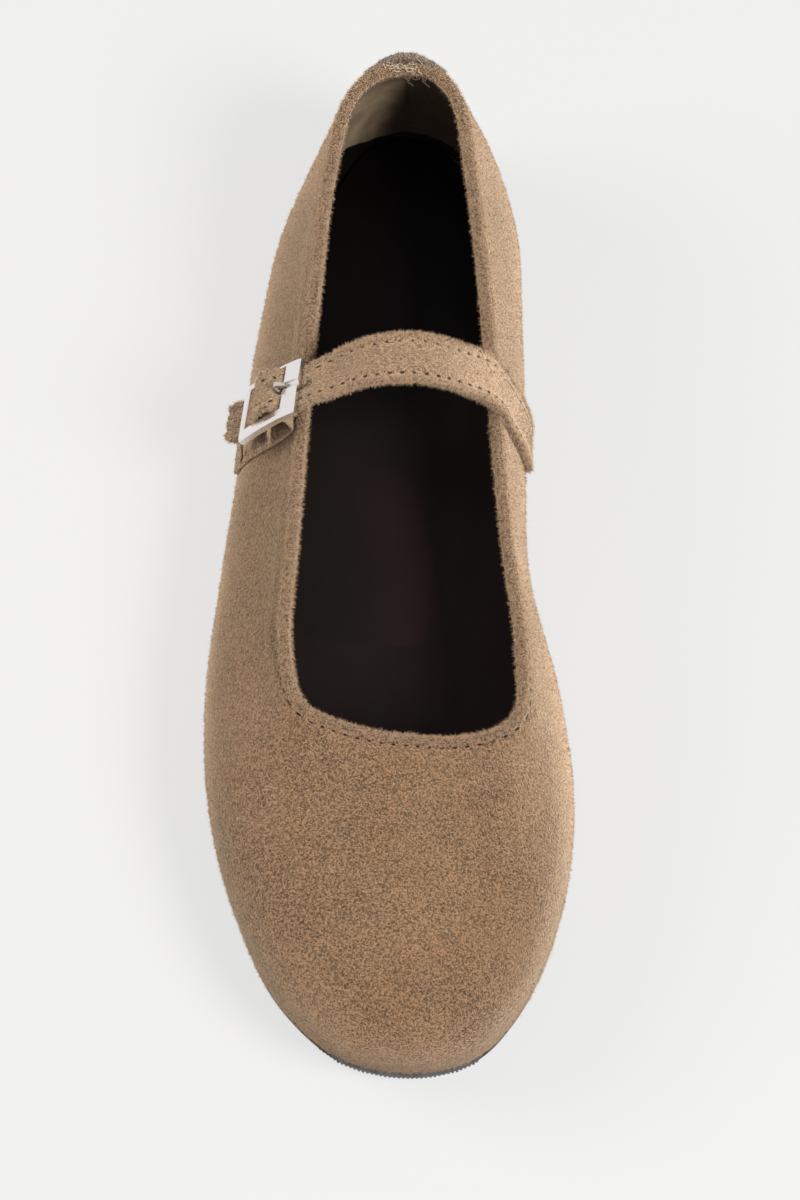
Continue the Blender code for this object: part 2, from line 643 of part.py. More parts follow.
def make_buckle_frame(buckle, material, parent):
    """Bowed square frame with bevelled edges, its middle bar, and a notch for the prong's tip."""
    half_length, half_width = BUCKLE_LENGTH / 2, BUCKLE_WIDTH / 2
    bow = np.linspace(-1.0, 1.0, BOW_POINTS)
    corners = [(share, -1.0) for share in bow] + [(share, 1.0) for share in bow[::-1]]
    half = BUCKLE_THICKNESS / 2
    profile = [(0.0, 0.0, -half), (0.0, 0.0, half - BUCKLE_BEVEL), (0.0, BUCKLE_BEVEL, half),
               (1.0, -BUCKLE_BEVEL, half), (1.0, 0.0, half - BUCKLE_BEVEL), (1.0, 0.0, -half)]
    loops = []
    for place, aside in corners:
        loop = []
        for depth, bevel, lift in profile:
            run = place * (half_length - depth * END_BAR_WIDTH - bevel)
            sideways = aside * (half_width - depth * SIDE_BAR_WIDTH - bevel)
            loop.append(buckle.point(run, lift, sideways))
        loops.append(loop)
    frame = solid("buckle_frame", loops, material, parent, ring=True, smooth_angle=25.0)
    bar_reach = half_width - SIDE_BAR_WIDTH / 2
    bar_ends = [buckle.bar_point(-bar_reach), buckle.bar_point(bar_reach)]
    cut(frame, make_tube("middle_bar", bar_ends, MIDDLE_BAR_DIAMETER, material, parent), "UNION")
    notch_lift = half + PRONG_NOTCH_WIDTH / 2 - PRONG_NOTCH_DEPTH
    notch_span = (half_length - END_BAR_WIDTH - PRONG_DIAMETER, half_length + PRONG_DIAMETER)
    notch = [buckle.point(place, notch_lift) for place in notch_span]
    cut(frame, make_tube("prong_notch", notch, PRONG_NOTCH_WIDTH, material, parent))
    return frame


def make_prong(buckle, material, parent):
    """Pin that turns on the middle bar, comes up through the strap and rests in the frame's notch."""
    eye_radius = MIDDLE_BAR_DIAMETER / 2 + PIECE_GAP + PRONG_DIAMETER / 2
    path = []
    for angle in np.radians(np.linspace(PRONG_EYE_FROM, PRONG_EYE_TO, EYE_POINTS)):
        path.append((MIDDLE_BAR_SHIFT - eye_radius * math.sin(angle),
                     -MIDDLE_BAR_DROP - eye_radius * math.cos(angle)))
    hole = PRONG_HOLE_PLACE * BUCKLE_LENGTH / 2
    bar = BUCKLE_LENGTH / 2 - END_BAR_WIDTH / 2
    path += [(hole + (bar - hole) * row.run, row.lift * PRONG_DIAMETER) for row in PRONG_PATH]
    points = [buckle.point(place, lift) for place, lift in path]
    return make_tube(
        "buckle_prong", points, PRONG_DIAMETER, material, parent, PRONG_SIDES, PRONG_TIP_SHARE)


def wall_place(buckle, knot, wall):
    """Run towards the instep and aside, both from the buckle's middle, of a point of the outside."""
    offset = last_surface(knot, wall) - buckle.middle
    return np.array([np.dot(offset, buckle.instep), np.dot(offset, buckle.across)])


def wall_under(buckle, place, aside):
    """Knot and wall share of the outer quarter right under a place of the buckle, by short steps."""
    knot, wall = SEARCH_START
    for _ in range(SEARCH_ROUNDS):
        here = wall_place(buckle, knot, wall)
        by_knot = wall_place(buckle, knot + SLOPE_STEP, wall) - here
        by_wall = here - wall_place(buckle, knot, wall - SLOPE_STEP)
        slopes = np.array([by_knot, by_wall]).T / SLOPE_STEP
        move = np.linalg.solve(slopes, np.array([place, aside]) - here)
        move = np.clip(move, -SEARCH_STRIDE, SEARCH_STRIDE)
        knot, wall = np.clip(np.add((knot, wall), move), SEARCH_LOW, SEARCH_HIGH)
    return knot, wall


def tab_profiles(bar_lift, reach):
    """Outlines of the folded tab and of its loop's opening: run up the wall from the bar, lift off it."""
    seat = PIECE_GAP
    floor = seat + TAB_LAYER
    roof = bar_lift + MIDDLE_BAR_DIAMETER / 2 + PIECE_GAP
    outer = [(-reach * share, seat) for share in np.linspace(1.0, 0.0, TAB_SEAT_POINTS)]
    inner = [(-TAB_LOOP * share, floor) for share in (1.0, 0.5, 0.0)]
    for angle in np.radians(np.linspace(-TAB_FOLD_ANGLE, TAB_FOLD_ANGLE, TAB_FOLD_POINTS)):
        across_fold, up_fold = math.cos(angle), math.sin(angle)
        middle, half = (roof + floor) / 2, (roof - floor) / 2
        outer.append((TAB_FOLD * across_fold, middle + (half + TAB_LAYER) * up_fold))
        inner.append(((TAB_FOLD - TAB_LAYER) * across_fold, middle + half * up_fold))
    for point in TAB_FALL:
        under = floor + (roof - floor) * point.rise
        outer.append((-point.run * TAB_LOOP, under + point.layer * TAB_LAYER))
        if point.name != "joined":
            inner.append((-point.run * TAB_LOOP, under))
    flap = TAB_LOOP + TAB_FLAP
    outer += [(-flap, floor + TAB_LAYER), (-flap - TAB_LAYER, floor), (-reach, floor)]
    return outer, inner


def make_buckle_tab(buckle, material, parent):
    """Suede tab on the outer quarter, folded back on itself round the buckle's middle bar."""
    bm = bmesh.new()
    outer_rows, inner_rows = [], []
    reach = TAB_REACH * BUCKLE_LENGTH
    for aside in np.linspace(-TAB_WIDTH / 2, TAB_WIDTH / 2, TAB_COLUMNS):
        bar = buckle.bar_point(aside)
        under_bar = last_surface(*wall_under(buckle, MIDDLE_BAR_SHIFT, aside))
        outer, inner = tab_profiles(np.dot(bar - under_bar, buckle.out), reach)
        for rows, profile in ((outer_rows, outer), (inner_rows, inner)):
            row = []
            for run, height in profile:
                knot, wall = wall_under(buckle, MIDDLE_BAR_SHIFT + run, aside)
                on_wall = min(1.0, max(0.0, -run / reach))
                heading = unit(buckle.out * (1 - on_wall) + last_normal(knot, wall) * on_wall)
                row.append(bm.verts.new((last_surface(knot, wall) + heading * height) * MM))
            rows.append(row)
    for rows in (outer_rows, inner_rows):
        for one, two in zip(rows, rows[1:]):
            for index in range(len(one)):
                after = (index + 1) % len(one)
                bm.faces.new((one[index], one[after], two[after], two[index]))
    for end in (0, -1):
        edges = []
        for row in (outer_rows[end], inner_rows[end]):
            edges += [bm.edges.get((row[index - 1], row[index])) for index in range(len(row))]
        bmesh.ops.triangle_fill(bm, edges=edges, use_beauty=True)
    tab = make_object("buckle_tab", bm, material, parent)
    eye_reach = MIDDLE_BAR_DIAMETER / 2 + PIECE_GAP + PRONG_DIAMETER + PIECE_GAP
    slot_length, slot_height = 2 * (eye_reach + PIECE_GAP), 3 * eye_reach
    slot = bmesh.new()
    bmesh.ops.create_cube(slot, size=1.0)
    low = buckle.bar_point(0.0) - buckle.out * eye_reach
    for vertex in slot.verts:
        run, aside, rise = vertex.co
        place = (low + buckle.instep * run * slot_length + buckle.across * aside * TAB_SLOT_WIDTH
                 + buckle.out * (rise + 0.5) * slot_height)
        vertex.co = place * MM
    cut(tab, make_object("eye_slot", slot, material, parent))
    return tab


def build():
    for old in list(bpy.data.objects):
        bpy.data.objects.remove(old, do_unlink=True)
    origin = bpy.data.objects.new("shoe_origin", None)
    bpy.context.collection.objects.link(origin)
    buckle = BucklePlace()
    make_outsole(make_material("rubber", RUBBER, 0.7), origin)
    make_upper(make_material("suede", SUEDE, 0.9), origin)
    make_insole(make_material("insole_leather", INSOLE_BLACK, 0.45), origin)
    make_heel_strip(make_material("dark_suede", DARK_SUEDE, 0.9), origin)
    make_strap(buckle, make_material("strap_suede", SUEDE, 0.9), origin)
    make_buckle_frame(buckle, make_material("bright_steel", STEEL, 0.2, 1.0), origin)
    make_buckle_tab(buckle, make_material("tab_suede", SUEDE, 0.9), origin)
    make_prong(buckle, make_material("prong_steel", STEEL, 0.25, 1.0), origin)
    bpy.context.view_layer.update()
    graph = bpy.context.evaluated_depsgraph_get()
    corners = [corner for piece in origin.children if not piece.hide_render
               for corner in piece.evaluated_get(graph).bound_box]
    low, high = np.min(corners, axis=0), np.max(corners, axis=0)
    origin.location = (-(low[0] + high[0]) / 2, -(low[1] + high[1]) / 2, -low[2])


build()
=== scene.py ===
"""Looks of the right ballet flat: tan suede, dark rubber sole, black insole, bright buckle.

Lengths are millimetres unless a name says otherwise; meshes are in metres. The heel points to +Y, the
toe to -Y, the big-toe side to +X and up is +Z, as in the solids that this script dresses.
"""
import math
from collections import namedtuple

import bmesh
import bpy
import numpy as np
from mathutils import Matrix, Vector, kdtree, noise
from mathutils.bvhtree import BVHTree


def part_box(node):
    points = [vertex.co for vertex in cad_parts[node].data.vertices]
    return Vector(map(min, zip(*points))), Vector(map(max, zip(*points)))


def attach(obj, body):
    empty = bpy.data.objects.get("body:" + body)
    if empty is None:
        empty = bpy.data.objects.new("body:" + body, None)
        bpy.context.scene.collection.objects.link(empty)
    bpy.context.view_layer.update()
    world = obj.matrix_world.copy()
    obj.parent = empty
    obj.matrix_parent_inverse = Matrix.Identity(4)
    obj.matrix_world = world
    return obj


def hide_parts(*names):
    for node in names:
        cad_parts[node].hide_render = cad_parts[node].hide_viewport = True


MM = 0.001
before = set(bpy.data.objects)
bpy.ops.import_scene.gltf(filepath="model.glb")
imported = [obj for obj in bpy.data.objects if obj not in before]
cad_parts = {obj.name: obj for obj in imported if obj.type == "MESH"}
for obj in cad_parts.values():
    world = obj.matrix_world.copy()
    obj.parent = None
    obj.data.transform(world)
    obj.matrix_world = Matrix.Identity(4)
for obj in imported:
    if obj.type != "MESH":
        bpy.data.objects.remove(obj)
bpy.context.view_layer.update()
UPPER_LOW, UPPER_HIGH = (np.array(corner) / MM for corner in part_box("upper"))
UPPER_MIDDLE = (UPPER_LOW + UPPER_HIGH) / 2

# Camera: its aim beside the upper's middle, and its angle over the floor
CAMERA_HEIGHT_ANGLE = 69.087
CAMERA_DISTANCE = 720.0
CAMERA_LENS = 90.62
CAMERA_SENSOR = 36.0
CAMERA_AIM = Vector((UPPER_MIDDLE[0] + 2.82, UPPER_MIDDLE[1] - 10.12, 20.0))

# Topline fold of the upper and the seam under it
FOLD_WIDTH = 2.8
FOLD_SWELL = 0.50
FOLD_PUCKER = 0.10
HEEL_ROLL = 0.9
SEAM_DEPTH = 0.30
SEAM_WIDTH = 0.9
STITCH_PITCH = 2.7
NEEDLE_HOLE = 0.66
BEYOND_SEAM_RISE = 0.22
BEYOND_SEAM_PLACE = 2.2
BEYOND_SEAM_WIDTH = 2.0

# Soft troughs of the upper in plan, from one place to another
Trough = namedtuple("Trough", "start end width depth")
TROUGHS = (
    Trough((36, -30), (30, 22), 9.0, 0.50),
    Trough((-34, -24), (-29, 30), 8.0, 0.35),
    Trough((20, -62), (36, -52), 8.0, 0.30),
    Trough((-30, -60), (-8, -66), 9.0, 0.25),
)

# Black up the inside of the heel, below a line: its height at the inner side and its further rise at the
# outer side
BLACK_LINE_HEIGHT = 15.4
BLACK_LINE_RISE = 7.6

# Painted shadow of the heel wall on the lining, beside the lining's heel seam: the seam's place across, and
# the shadow edge's lean for each millimetre of height under its top
LINING_SEAM_PLACE = 4.6
LINING_SHADOW_LEAN = 0.22
LINING_SHADOW_TOP = 45.0

# Paler patch on the inner side of the toe, laid in with the painted sheen of the steep walls
PALE_PATCH = (35.0, -58.0)
PALE_PATCH_WIDTH = 16.0
PALE_PATCH_SHARE = 0.35

# Buckle: its middle, and its directions towards the instep, across and outwards
BUCKLE_SLOPE = math.radians(45.0)
BUCKLE_TURN = math.radians(9.7)
BUCKLE_ROLL = math.radians(22.0)
LEVEL = np.array([math.cos(BUCKLE_TURN), math.sin(BUCKLE_TURN), 0.0])
ASIDE = np.array([-math.sin(BUCKLE_TURN), math.cos(BUCKLE_TURN), 0.0])
UPRIGHT = np.array([0.0, 0.0, 1.0])
WALL_OUT = UPRIGHT * math.cos(BUCKLE_SLOPE) - LEVEL * math.sin(BUCKLE_SLOPE)
BUCKLE_AXES = np.array([
    LEVEL * math.cos(BUCKLE_SLOPE) + UPRIGHT * math.sin(BUCKLE_SLOPE),
    ASIDE * math.cos(BUCKLE_ROLL) - WALL_OUT * math.sin(BUCKLE_ROLL),
    WALL_OUT * math.cos(BUCKLE_ROLL) + ASIDE * math.sin(BUCKLE_ROLL)])
BUCKLE_MIDDLE = sum(np.array(corner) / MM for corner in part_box("buckle_frame")) / 2
TIP_FLARE = 3.2
SPARE_HOLE_PLACE = 11.9
SPARE_HOLE_RADIUS = 1.1
SPARE_HOLE_DENT = 0.4
PRONG_THICKENING = 1.25

# Places along and across the buckle on the solids, and where the scene's finer forms have them
BAR_PLACES = ((-9.5, -8.9, -6.2, 4.0, 6.2, 8.9), (-9.6, -9.0, -7.2, 3.6, 4.9, 9.6))
SIDE_PLACES = ((-8.15, -6.25, 6.25, 8.15), (-8.3, -5.5, 6.8, 8.15))
PRONG_PLACES = ((2.5, 3.3, 8.3), (2.5, 4.3, 6.8))

# Strap inside the frame: puffed up, widened, and its worn hole drawn down and towards the instep bar
STRAP_PUFF = 0.7
STRAP_WIDENING = 1.0
HOLE_DRAW = 1.3
SEAT_THICKENING = 1.0

# Strap stitching
STRAP_SEAM_INSET = 2.3
STRAP_STITCH_PITCH = 2.9
STRAP_NEEDLE_HOLE = 0.84
STITCH_LENGTH = 1.5
THREAD_WIDTH = 0.42
STRAP_GROOVE = 0.24

# Suede: size of its tufts, share of the tufts in the grain, depth of its relief, glow of its nap; hairs
GRAIN = 0.50
TUFT_SHARE = 0.60
SUEDE_RELIEF = 1.5
NAP_GLOW = 0.90
HAIR_LENGTH = 0.75
HAIR_WIDTH = 0.15
UPPER_HAIRS = 42000
RIM_HAIRS = 26000
STRAP_HAIRS = 16000
TAB_HAIRS = 5000
STRIP_HAIRS = 9000

# Heel strip: rise of its top's middle, fall to its sides, height of its ragged edge, lean to the shoe
STRIP_RISE = 0.9
STRIP_FALL = 2.1
STRIP_RAGGED = 0.7
STRIP_LEAN = 0.45

# Loose threads at the top of the heel: box of their ends beside the highest place, count, length, weight
ThreadBunch = namedtuple("ThreadBunch", "name low high count length weight finish tone")
THREAD_BUNCHES = (
    ThreadBunch("heel_threads", (-3, -1.4, 0.1), (7, 1.4, 0.5), 22, 2.2, 0.16,
                "pale_thread", (0.85, 0.74, 0.60)),
    ThreadBunch("heel_dark_threads", (2, -3.4, -1.6), (7, -2.4, -0.6), 12, 2.0, 0.30,
                "dark_thread", (0.12, 0.07, 0.045)),
)
THREAD_BIT = 0.35

# Sole: how far its side is tucked under the upper behind the toe, and the ribs along its lower edge
SOLE_TUCK = 1.1
RIB_PITCH = 1.05
RIB_LENGTH = 0.5
RIB_WIDTH = 0.62
RIB_HEIGHT = 1.5
RIB_LIFT = 0.95
RIB_STANDING = 0.12

# Pad of the insole: its inner edge at the toe end and at the heel, its front end and corner
PAD_EDGE_FRONT = 12.4
PAD_EDGE_BACK = 6.2
PAD_FRONT = -19.0
PAD_CORNER = 9.0
PAD_RISE = 0.45

# Colours, as light that a surface gives back
SUEDE_LIGHT = (0.462, 0.274, 0.149)
SUEDE_DARK = (0.080, 0.043, 0.022)
STRAP_LIGHT = (0.610, 0.400, 0.250)
STRAP_DARK = (0.170, 0.100, 0.055)
# Pale tone of the painted sheen on steep walls and of the painted light at the strap's inner end
PAINTED_SHEEN_PALE = (0.860, 0.605, 0.395)
FOLD_LIGHT = (0.430, 0.280, 0.175)
FOLD_DARK = (0.060, 0.036, 0.022)
CUT_EDGE = (0.330, 0.270, 0.205)
LINING_LIGHT = (0.300, 0.225, 0.150)
LINING_DARK = (0.190, 0.140, 0.092)
# Painted shadow on the lining, and its dark heel seam
LINING_SHADOW_AND_SEAM = (0.045, 0.032, 0.024)
INSIDE_BLACK = (0.0050, 0.0038, 0.0036)
INSOLE_DARK = (0.0140, 0.0102, 0.0098)
INSOLE_LIGHT = (0.0170, 0.0112, 0.0108)
PAD_TONE = (0.0108, 0.0092, 0.0078)
PAD_RUDDY = (0.0270, 0.0150, 0.0140)
# Painted shade on the insole towards the heel
INSOLE_HEEL_SHADE = (0.0035, 0.0024, 0.0024)
FRAME_STEEL = (0.88, 0.85, 0.84)
PRONG_STEEL = (0.66, 0.64, 0.62)
# Heel strip: its own grey-brown suede, darkened further as painted shade for a nap that faces away from the
# light
STRIP_LIGHT = (0.340, 0.258, 0.196)
STRIP_DARK = (0.085, 0.060, 0.046)
HAIR_LIGHT = (0.620, 0.420, 0.265)
HAIR_DARK = (0.120, 0.070, 0.040)
STRAP_HAIR = (0.680, 0.490, 0.330)
STRIP_HAIR = (0.520, 0.450, 0.390)
THREAD_LIGHT = (0.480, 0.340, 0.220)
RUBBER_DARK = (0.092, 0.092, 0.095)
RUBBER_LIGHT = (0.132, 0.131, 0.134)
FLOOR_TONE = (0.16, 0.16, 0.16)
FLOOR_GLOW = 0.655

# Light of the studio's walls, and how bright they look in the metal
WORLD_LIGHT = 0.30
WORLD_MIRRORED = 0.85

# Lamps: place and size in metres, power in watts
Lamp = namedtuple("Lamp", "name place size power tone")
LAMPS = (
    Lamp("key_light", (0.80, -0.42, 1.00), 0.60, 18.8, (1.0, 0.985, 0.96)),
    Lamp("fill_light", (-1.15, 0.25, 0.70), 0.9, 17.0, (1.0, 0.97, 0.93)),
)

random_numbers = np.random.default_rng(17)


def lengths_along(points):
    """Running length at each point of a line."""
    steps = np.linalg.norm(np.diff(points, axis=0), axis=1)
    return np.concatenate([[0.0], np.cumsum(steps)])


def directions(vectors):
    return vectors / np.maximum(np.linalg.norm(vectors, axis=-1, keepdims=True), 1e-9)


class Line:
    """Line through vertices, in millimetres, with its running length, to measure from and to place on."""

    def __init__(self, vertices):
        self.points = np.array([vertex.co for vertex in vertices]) / MM
        self.runs = lengths_along(self.points)
        self.length = self.runs[-1]
        self.fine_runs = np.arange(0.0, self.length, 0.25)
        fine = self.at(self.fine_runs)
        self.tree = kdtree.KDTree(len(fine))
        for index, point in enumerate(fine):
            self.tree.insert(point, index)
        self.tree.balance()

    def at(self, runs):
        return np.stack([np.interp(runs, self.runs, self.points[:, axis]) for axis in range(3)], axis=-1)

    def heading(self, runs):
        return directions(self.at(np.add(runs, 0.5)) - self.at(np.subtract(runs, 0.5)))

    def measure(self, points):
        """Distance of each point from the line, and the running length at its nearest place."""
        found = [self.tree.find(point) for point in points]
        return (np.array([distance for _, _, distance in found]),
                self.fine_runs[[index for _, index, _ in found]])


def merged_copy(node):
    """The node's mesh with its doubles merged and its triangles joined to quads."""
    bm = bmesh.new()
    bm.from_mesh(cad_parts[node].data)
    bmesh.ops.remove_doubles(bm, verts=bm.verts, dist=1e-5)
    bmesh.ops.join_triangles(bm, faces=bm.faces, angle_face_threshold=math.pi, angle_shape_threshold=math.pi)
    return bm


def sharp_edges(bm, angle):
    return [edge for edge in bm.edges if edge.is_manifold and edge.calc_face_angle(0.0) > math.radians(angle)]


def sharp_lines(bm, angle):
    """Lines of edges that turn by more than an angle, as lists of vertices: open ones, then closed ones.

    A closed line starts at its rearmost vertex, so that its seams start and end at the heel. Edges wait in
    a dictionary because it keeps their order, which a set doesn't from one run to the next.
    """
    waiting = dict.fromkeys(sharp_edges(bm, angle))
    beside = {}
    for edge in waiting:
        for vertex in edge.verts:
            beside.setdefault(vertex, []).append(edge)

    def follow(vertex, edge):
        line = [vertex]
        while edge:
            waiting.pop(edge, None)
            line.append(edge.other_vert(line[-1]))
            onward = [other for other in beside[line[-1]] if other in waiting]
            edge = onward[0] if len(beside[line[-1]]) == 2 and onward else None
        return line

    corners = [vertex for vertex, edges in beside.items() if len(edges) != 2]
    open_lines = [follow(vertex, edge) for vertex in corners for edge in beside[vertex] if edge in waiting]
    closed_lines = []
    while waiting:
        edge = max(waiting, key=lambda edge: max(vertex.co.y for vertex in edge.verts))
        closed_lines.append(follow(max(edge.verts, key=lambda vertex: vertex.co.y), edge))
    return open_lines, closed_lines


def line_length(vertices):
    return lengths_along(np.array([vertex.co for vertex in vertices]))[-1]


def piece_from(bm, name, materials):
    mesh = bpy.data.meshes.new(name)
    bm.to_mesh(mesh)
    bm.free()
    for material in materials:
        mesh.materials.append(material)
    piece = bpy.data.objects.new(name, mesh)
    bpy.context.scene.collection.objects.link(piece)
    return piece


def apply_modifiers(piece):
    """Bakes the piece's modifiers into its mesh."""
    materials = list(piece.data.materials)
    graph = bpy.context.evaluated_depsgraph_get()
    graph.update()
    old = piece.data
    piece.data = bpy.data.meshes.new_from_object(piece.evaluated_get(graph))
    piece.data.name = piece.name
    piece.modifiers.clear()
    bpy.data.meshes.remove(old)
    if not piece.data.materials:
        for material in materials:
            piece.data.materials.append(material)


def subdivide(piece, levels):
    modifier = piece.modifiers.new("smooth_form", "SUBSURF")
    modifier.levels = modifier.render_levels = levels
    apply_modifiers(piece)


def soften(piece, size, rounds):
    """Lays an even fine mesh over the piece and rubs its edges round."""
    remesh = piece.modifiers.new("even_mesh", "REMESH")
    remesh.mode = "VOXEL"
    remesh.voxel_size = size * MM
    smooth = piece.modifiers.new("rubbed_edges", "SMOOTH")
    smooth.factor = 0.5
    smooth.iterations = rounds
    apply_modifiers(piece)


def numbers_of(items, name, kind=np.float32):
    """Rows of three numbers that the items hold under a name."""
    values = np.empty(len(items) * 3, kind)
    items.foreach_get(name, values)
    return values.reshape(-1, 3)


def points_of(piece):
    return numbers_of(piece.data.vertices, "co") / MM


def normals_of(piece):
    return numbers_of(piece.data.vertices, "normal")


def set_points(piece, points):
    piece.data.vertices.foreach_set("co", (np.asarray(points) * MM).astype(np.float32).ravel())
    piece.data.update()


def set_measure(piece, name, values):
    """Keeps one number for each vertex, which the materials read."""
    attribute = piece.data.attributes.new(name, "FLOAT", "POINT")
    attribute.data.foreach_set("value", np.asarray(values, np.float32))


def finish_piece(piece, slot, *nodes, smooth=True):
    piece.data.polygons.foreach_set("use_smooth", [smooth] * len(piece.data.polygons))
    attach(piece, "root")
    if nodes:
        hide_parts(*nodes)
    return piece


def hump(distance, middle, width):
    """Soft ridge profile of height 1 around a distance."""
    return np.exp(-((distance - middle) / (width / 2)) ** 2)


def soft_step(values, low, high):
    share = np.clip((values - low) / (high - low), 0.0, 1.0)
    return share * share * (3.0 - 2.0 * share)


def repeated(name, base, axes, places, material):
    """Copies of one small shape in one mesh: axes holds its three axes for each copy, as rows."""
    piece = piece_from(base, name, [material])
    shape = points_of(piece)
    copies = piece.modifiers.new("copies", "ARRAY")
    copies.count = len(places)
    copies.use_relative_offset = False
    copies.use_constant_offset = True
    apply_modifiers(piece)
    set_points(piece, (np.einsum("mi,nij->nmj", shape, axes) + places[:, None, :]).reshape(-1, 3))
    return piece


def axes_along(headings, sides, lengths, widths, heights):
    """Axes of copies whose first axis runs along headings and whose third stands up as sides do."""
    across = directions(np.cross(sides, headings))
    up = np.cross(headings, across)
    sizes = np.stack(np.broadcast_arrays(lengths, widths, heights), axis=-1)
    return np.stack([headings, across, up], axis=1) * np.atleast_2d(sizes)[:, :, None]


def random_places(piece, count, weight):
    """Random points on the surface and the directions out of it; weight is a share for each vertex."""
    mesh = piece.data
    mesh.calc_loop_triangles()
    corners = numbers_of(mesh.loop_triangles, "vertices", np.int32)
    points, normals = points_of(piece), normals_of(piece)
    one, two, three = (points[corners[:, index]] for index in range(3))
    areas = np.linalg.norm(np.cross(two - one, three - one), axis=1) * weight[corners].mean(axis=1)
    chosen = corners[random_numbers.choice(len(areas), count, p=areas / areas.sum())]
    shares = random_numbers.dirichlet((1, 1, 1), count)[:, :, None]
    return (points[chosen] * shares).sum(axis=1), directions((normals[chosen] * shares).sum(axis=1))


def hairs(name, piece, slot, count, weight, material, length=HAIR_LENGTH, comb=(0.0, -0.35, -0.2)):
    """Short tapering hairs all over a piece, combed one way."""
    spots, out = random_places(piece, count, weight)
    headings = directions(out + random_numbers.normal(0.0, 0.55, out.shape) + np.array(comb))
    rise = (headings * out).sum(axis=1)
    headings = directions(headings + out * np.maximum(0.0, 0.25 - rise)[:, None])
    lengths = length * random_numbers.uniform(0.45, 1.25, count)
    widths = HAIR_WIDTH * random_numbers.uniform(0.6, 1.3, count)
    base = bmesh.new()
    bmesh.ops.create_cone(base, cap_ends=True, segments=3, radius1=0.5 * MM, radius2=0.0, depth=MM)
    bmesh.ops.rotate(base, verts=base.verts, matrix=Matrix.Rotation(math.pi / 2, 3, "Y"))
    bmesh.ops.translate(base, verts=base.verts, vec=(0.4 * MM, 0.0, 0.0))
    axes = axes_along(headings, random_numbers.normal(size=out.shape), lengths, widths, widths)
    return finish_piece(repeated(name, base, axes, spots, material), slot)


class Nodes:
    """Short way to make and join the nodes of one material."""

    def __init__(self, name):
        self.material = bpy.data.materials.new(name)
        self.material.use_nodes = True
        self.tree = self.material.node_tree
        self.shader = self.tree.nodes["Principled BSDF"]
        self.place = self.add("ShaderNodeTexCoord").outputs["Object"]

    def add(self, kind, **settings):
        node = self.tree.nodes.new(kind)
        for name, value in settings.items():
            setattr(node, name, value)
        return node

    def join(self, value, socket):
        if isinstance(value, bpy.types.NodeSocket):
            self.tree.links.new(value, socket)
        elif socket.type == "RGBA":
            socket.default_value = (*value, 1.0)
        else:
            socket.default_value = value

    def math(self, operation, one, two=0.0):
        node = self.add("ShaderNodeMath", operation=operation)
        self.join(one, node.inputs[0])
        self.join(two, node.inputs[1])
        return node.outputs[0]

    def noise(self, size, detail=2.0, roughness=0.5, stretch=(1.0, 1.0, 1.0), distortion=0.0):
        """Noise whose blots are about a size across, in millimetres."""
        mapping = self.add("ShaderNodeMapping")
        self.join(self.place, mapping.inputs["Vector"])
        mapping.inputs["Scale"].default_value = [share / (size * MM) for share in stretch]
        node = self.add("ShaderNodeTexNoise")
        self.join(mapping.outputs[0], node.inputs["Vector"])
        node.inputs["Scale"].default_value = 1.0
        node.inputs["Detail"].default_value = detail
        node.inputs["Roughness"].default_value = roughness
        node.inputs["Distortion"].default_value = distortion
        return node.outputs["Fac"]

    def spread(self, value, low, high, out_low=0.0, out_high=1.0):
        """Value stretched from one span to another and held inside it."""
        node = self.add("ShaderNodeMapRange", interpolation_type="SMOOTHSTEP")
        for item, socket in zip((value, low, high, out_low, out_high), node.inputs):
            self.join(item, socket)
        return node.outputs[0]

    def blend(self, share, one, two):
        node = self.add("ShaderNodeMix", data_type="RGBA")
        sockets = {socket.identifier: socket for socket in node.inputs}
        self.join(share, sockets["Factor_Float"])
        self.join(one, sockets["A_Color"])
        self.join(two, sockets["B_Color"])
        return {socket.identifier: socket for socket in node.outputs}["Result_Color"]

    def measure(self, name):
        return self.add("ShaderNodeAttribute", attribute_name=name).outputs["Fac"]

    def bump(self, height, depth, before=None):
        """Relief of a depth in millimetres."""
        node = self.add("ShaderNodeBump")
        node.inputs["Strength"].default_value = 1.0
        node.inputs["Distance"].default_value = depth * MM
        self.join(height, node.inputs["Height"])
        if before is not None:
            self.join(before, node.inputs["Normal"])
        return node.outputs[0]

    def finish(self, colour, normal=None, **values):
        self.join(colour, self.shader.inputs["Base Color"])
        if normal is not None:
            self.join(normal, self.shader.inputs["Normal"])
        for name, value in values.items():
            self.join(value, self.shader.inputs[name.replace("_", " ")])
        return self.material


def shaded(tone, shares):
    """Darker tone: its red, green and blue each times a share."""
    return tuple(value * share for value, share in zip(tone, np.broadcast_to(shares, 3).tolist()))


def needle_holes(nodes, inset, pitch, size):
    """Mask of the needle holes of one seam, whose darkness is painted shade, from the measures along and away
    from the edge.
    """
    place = nodes.math("FRACT", nodes.math("DIVIDE", nodes.measure("seam_run"), pitch))
    along = nodes.math("MULTIPLY", nodes.math("SUBTRACT", place, 0.5), pitch * 0.50)
    away = nodes.math("SUBTRACT", nodes.measure("edge_distance"), inset)
    squares = nodes.math("ADD", nodes.math("MULTIPLY", along, along), nodes.math("MULTIPLY", away, away))
    return nodes.spread(nodes.math("SQRT", squares), size / 2, size / 5)


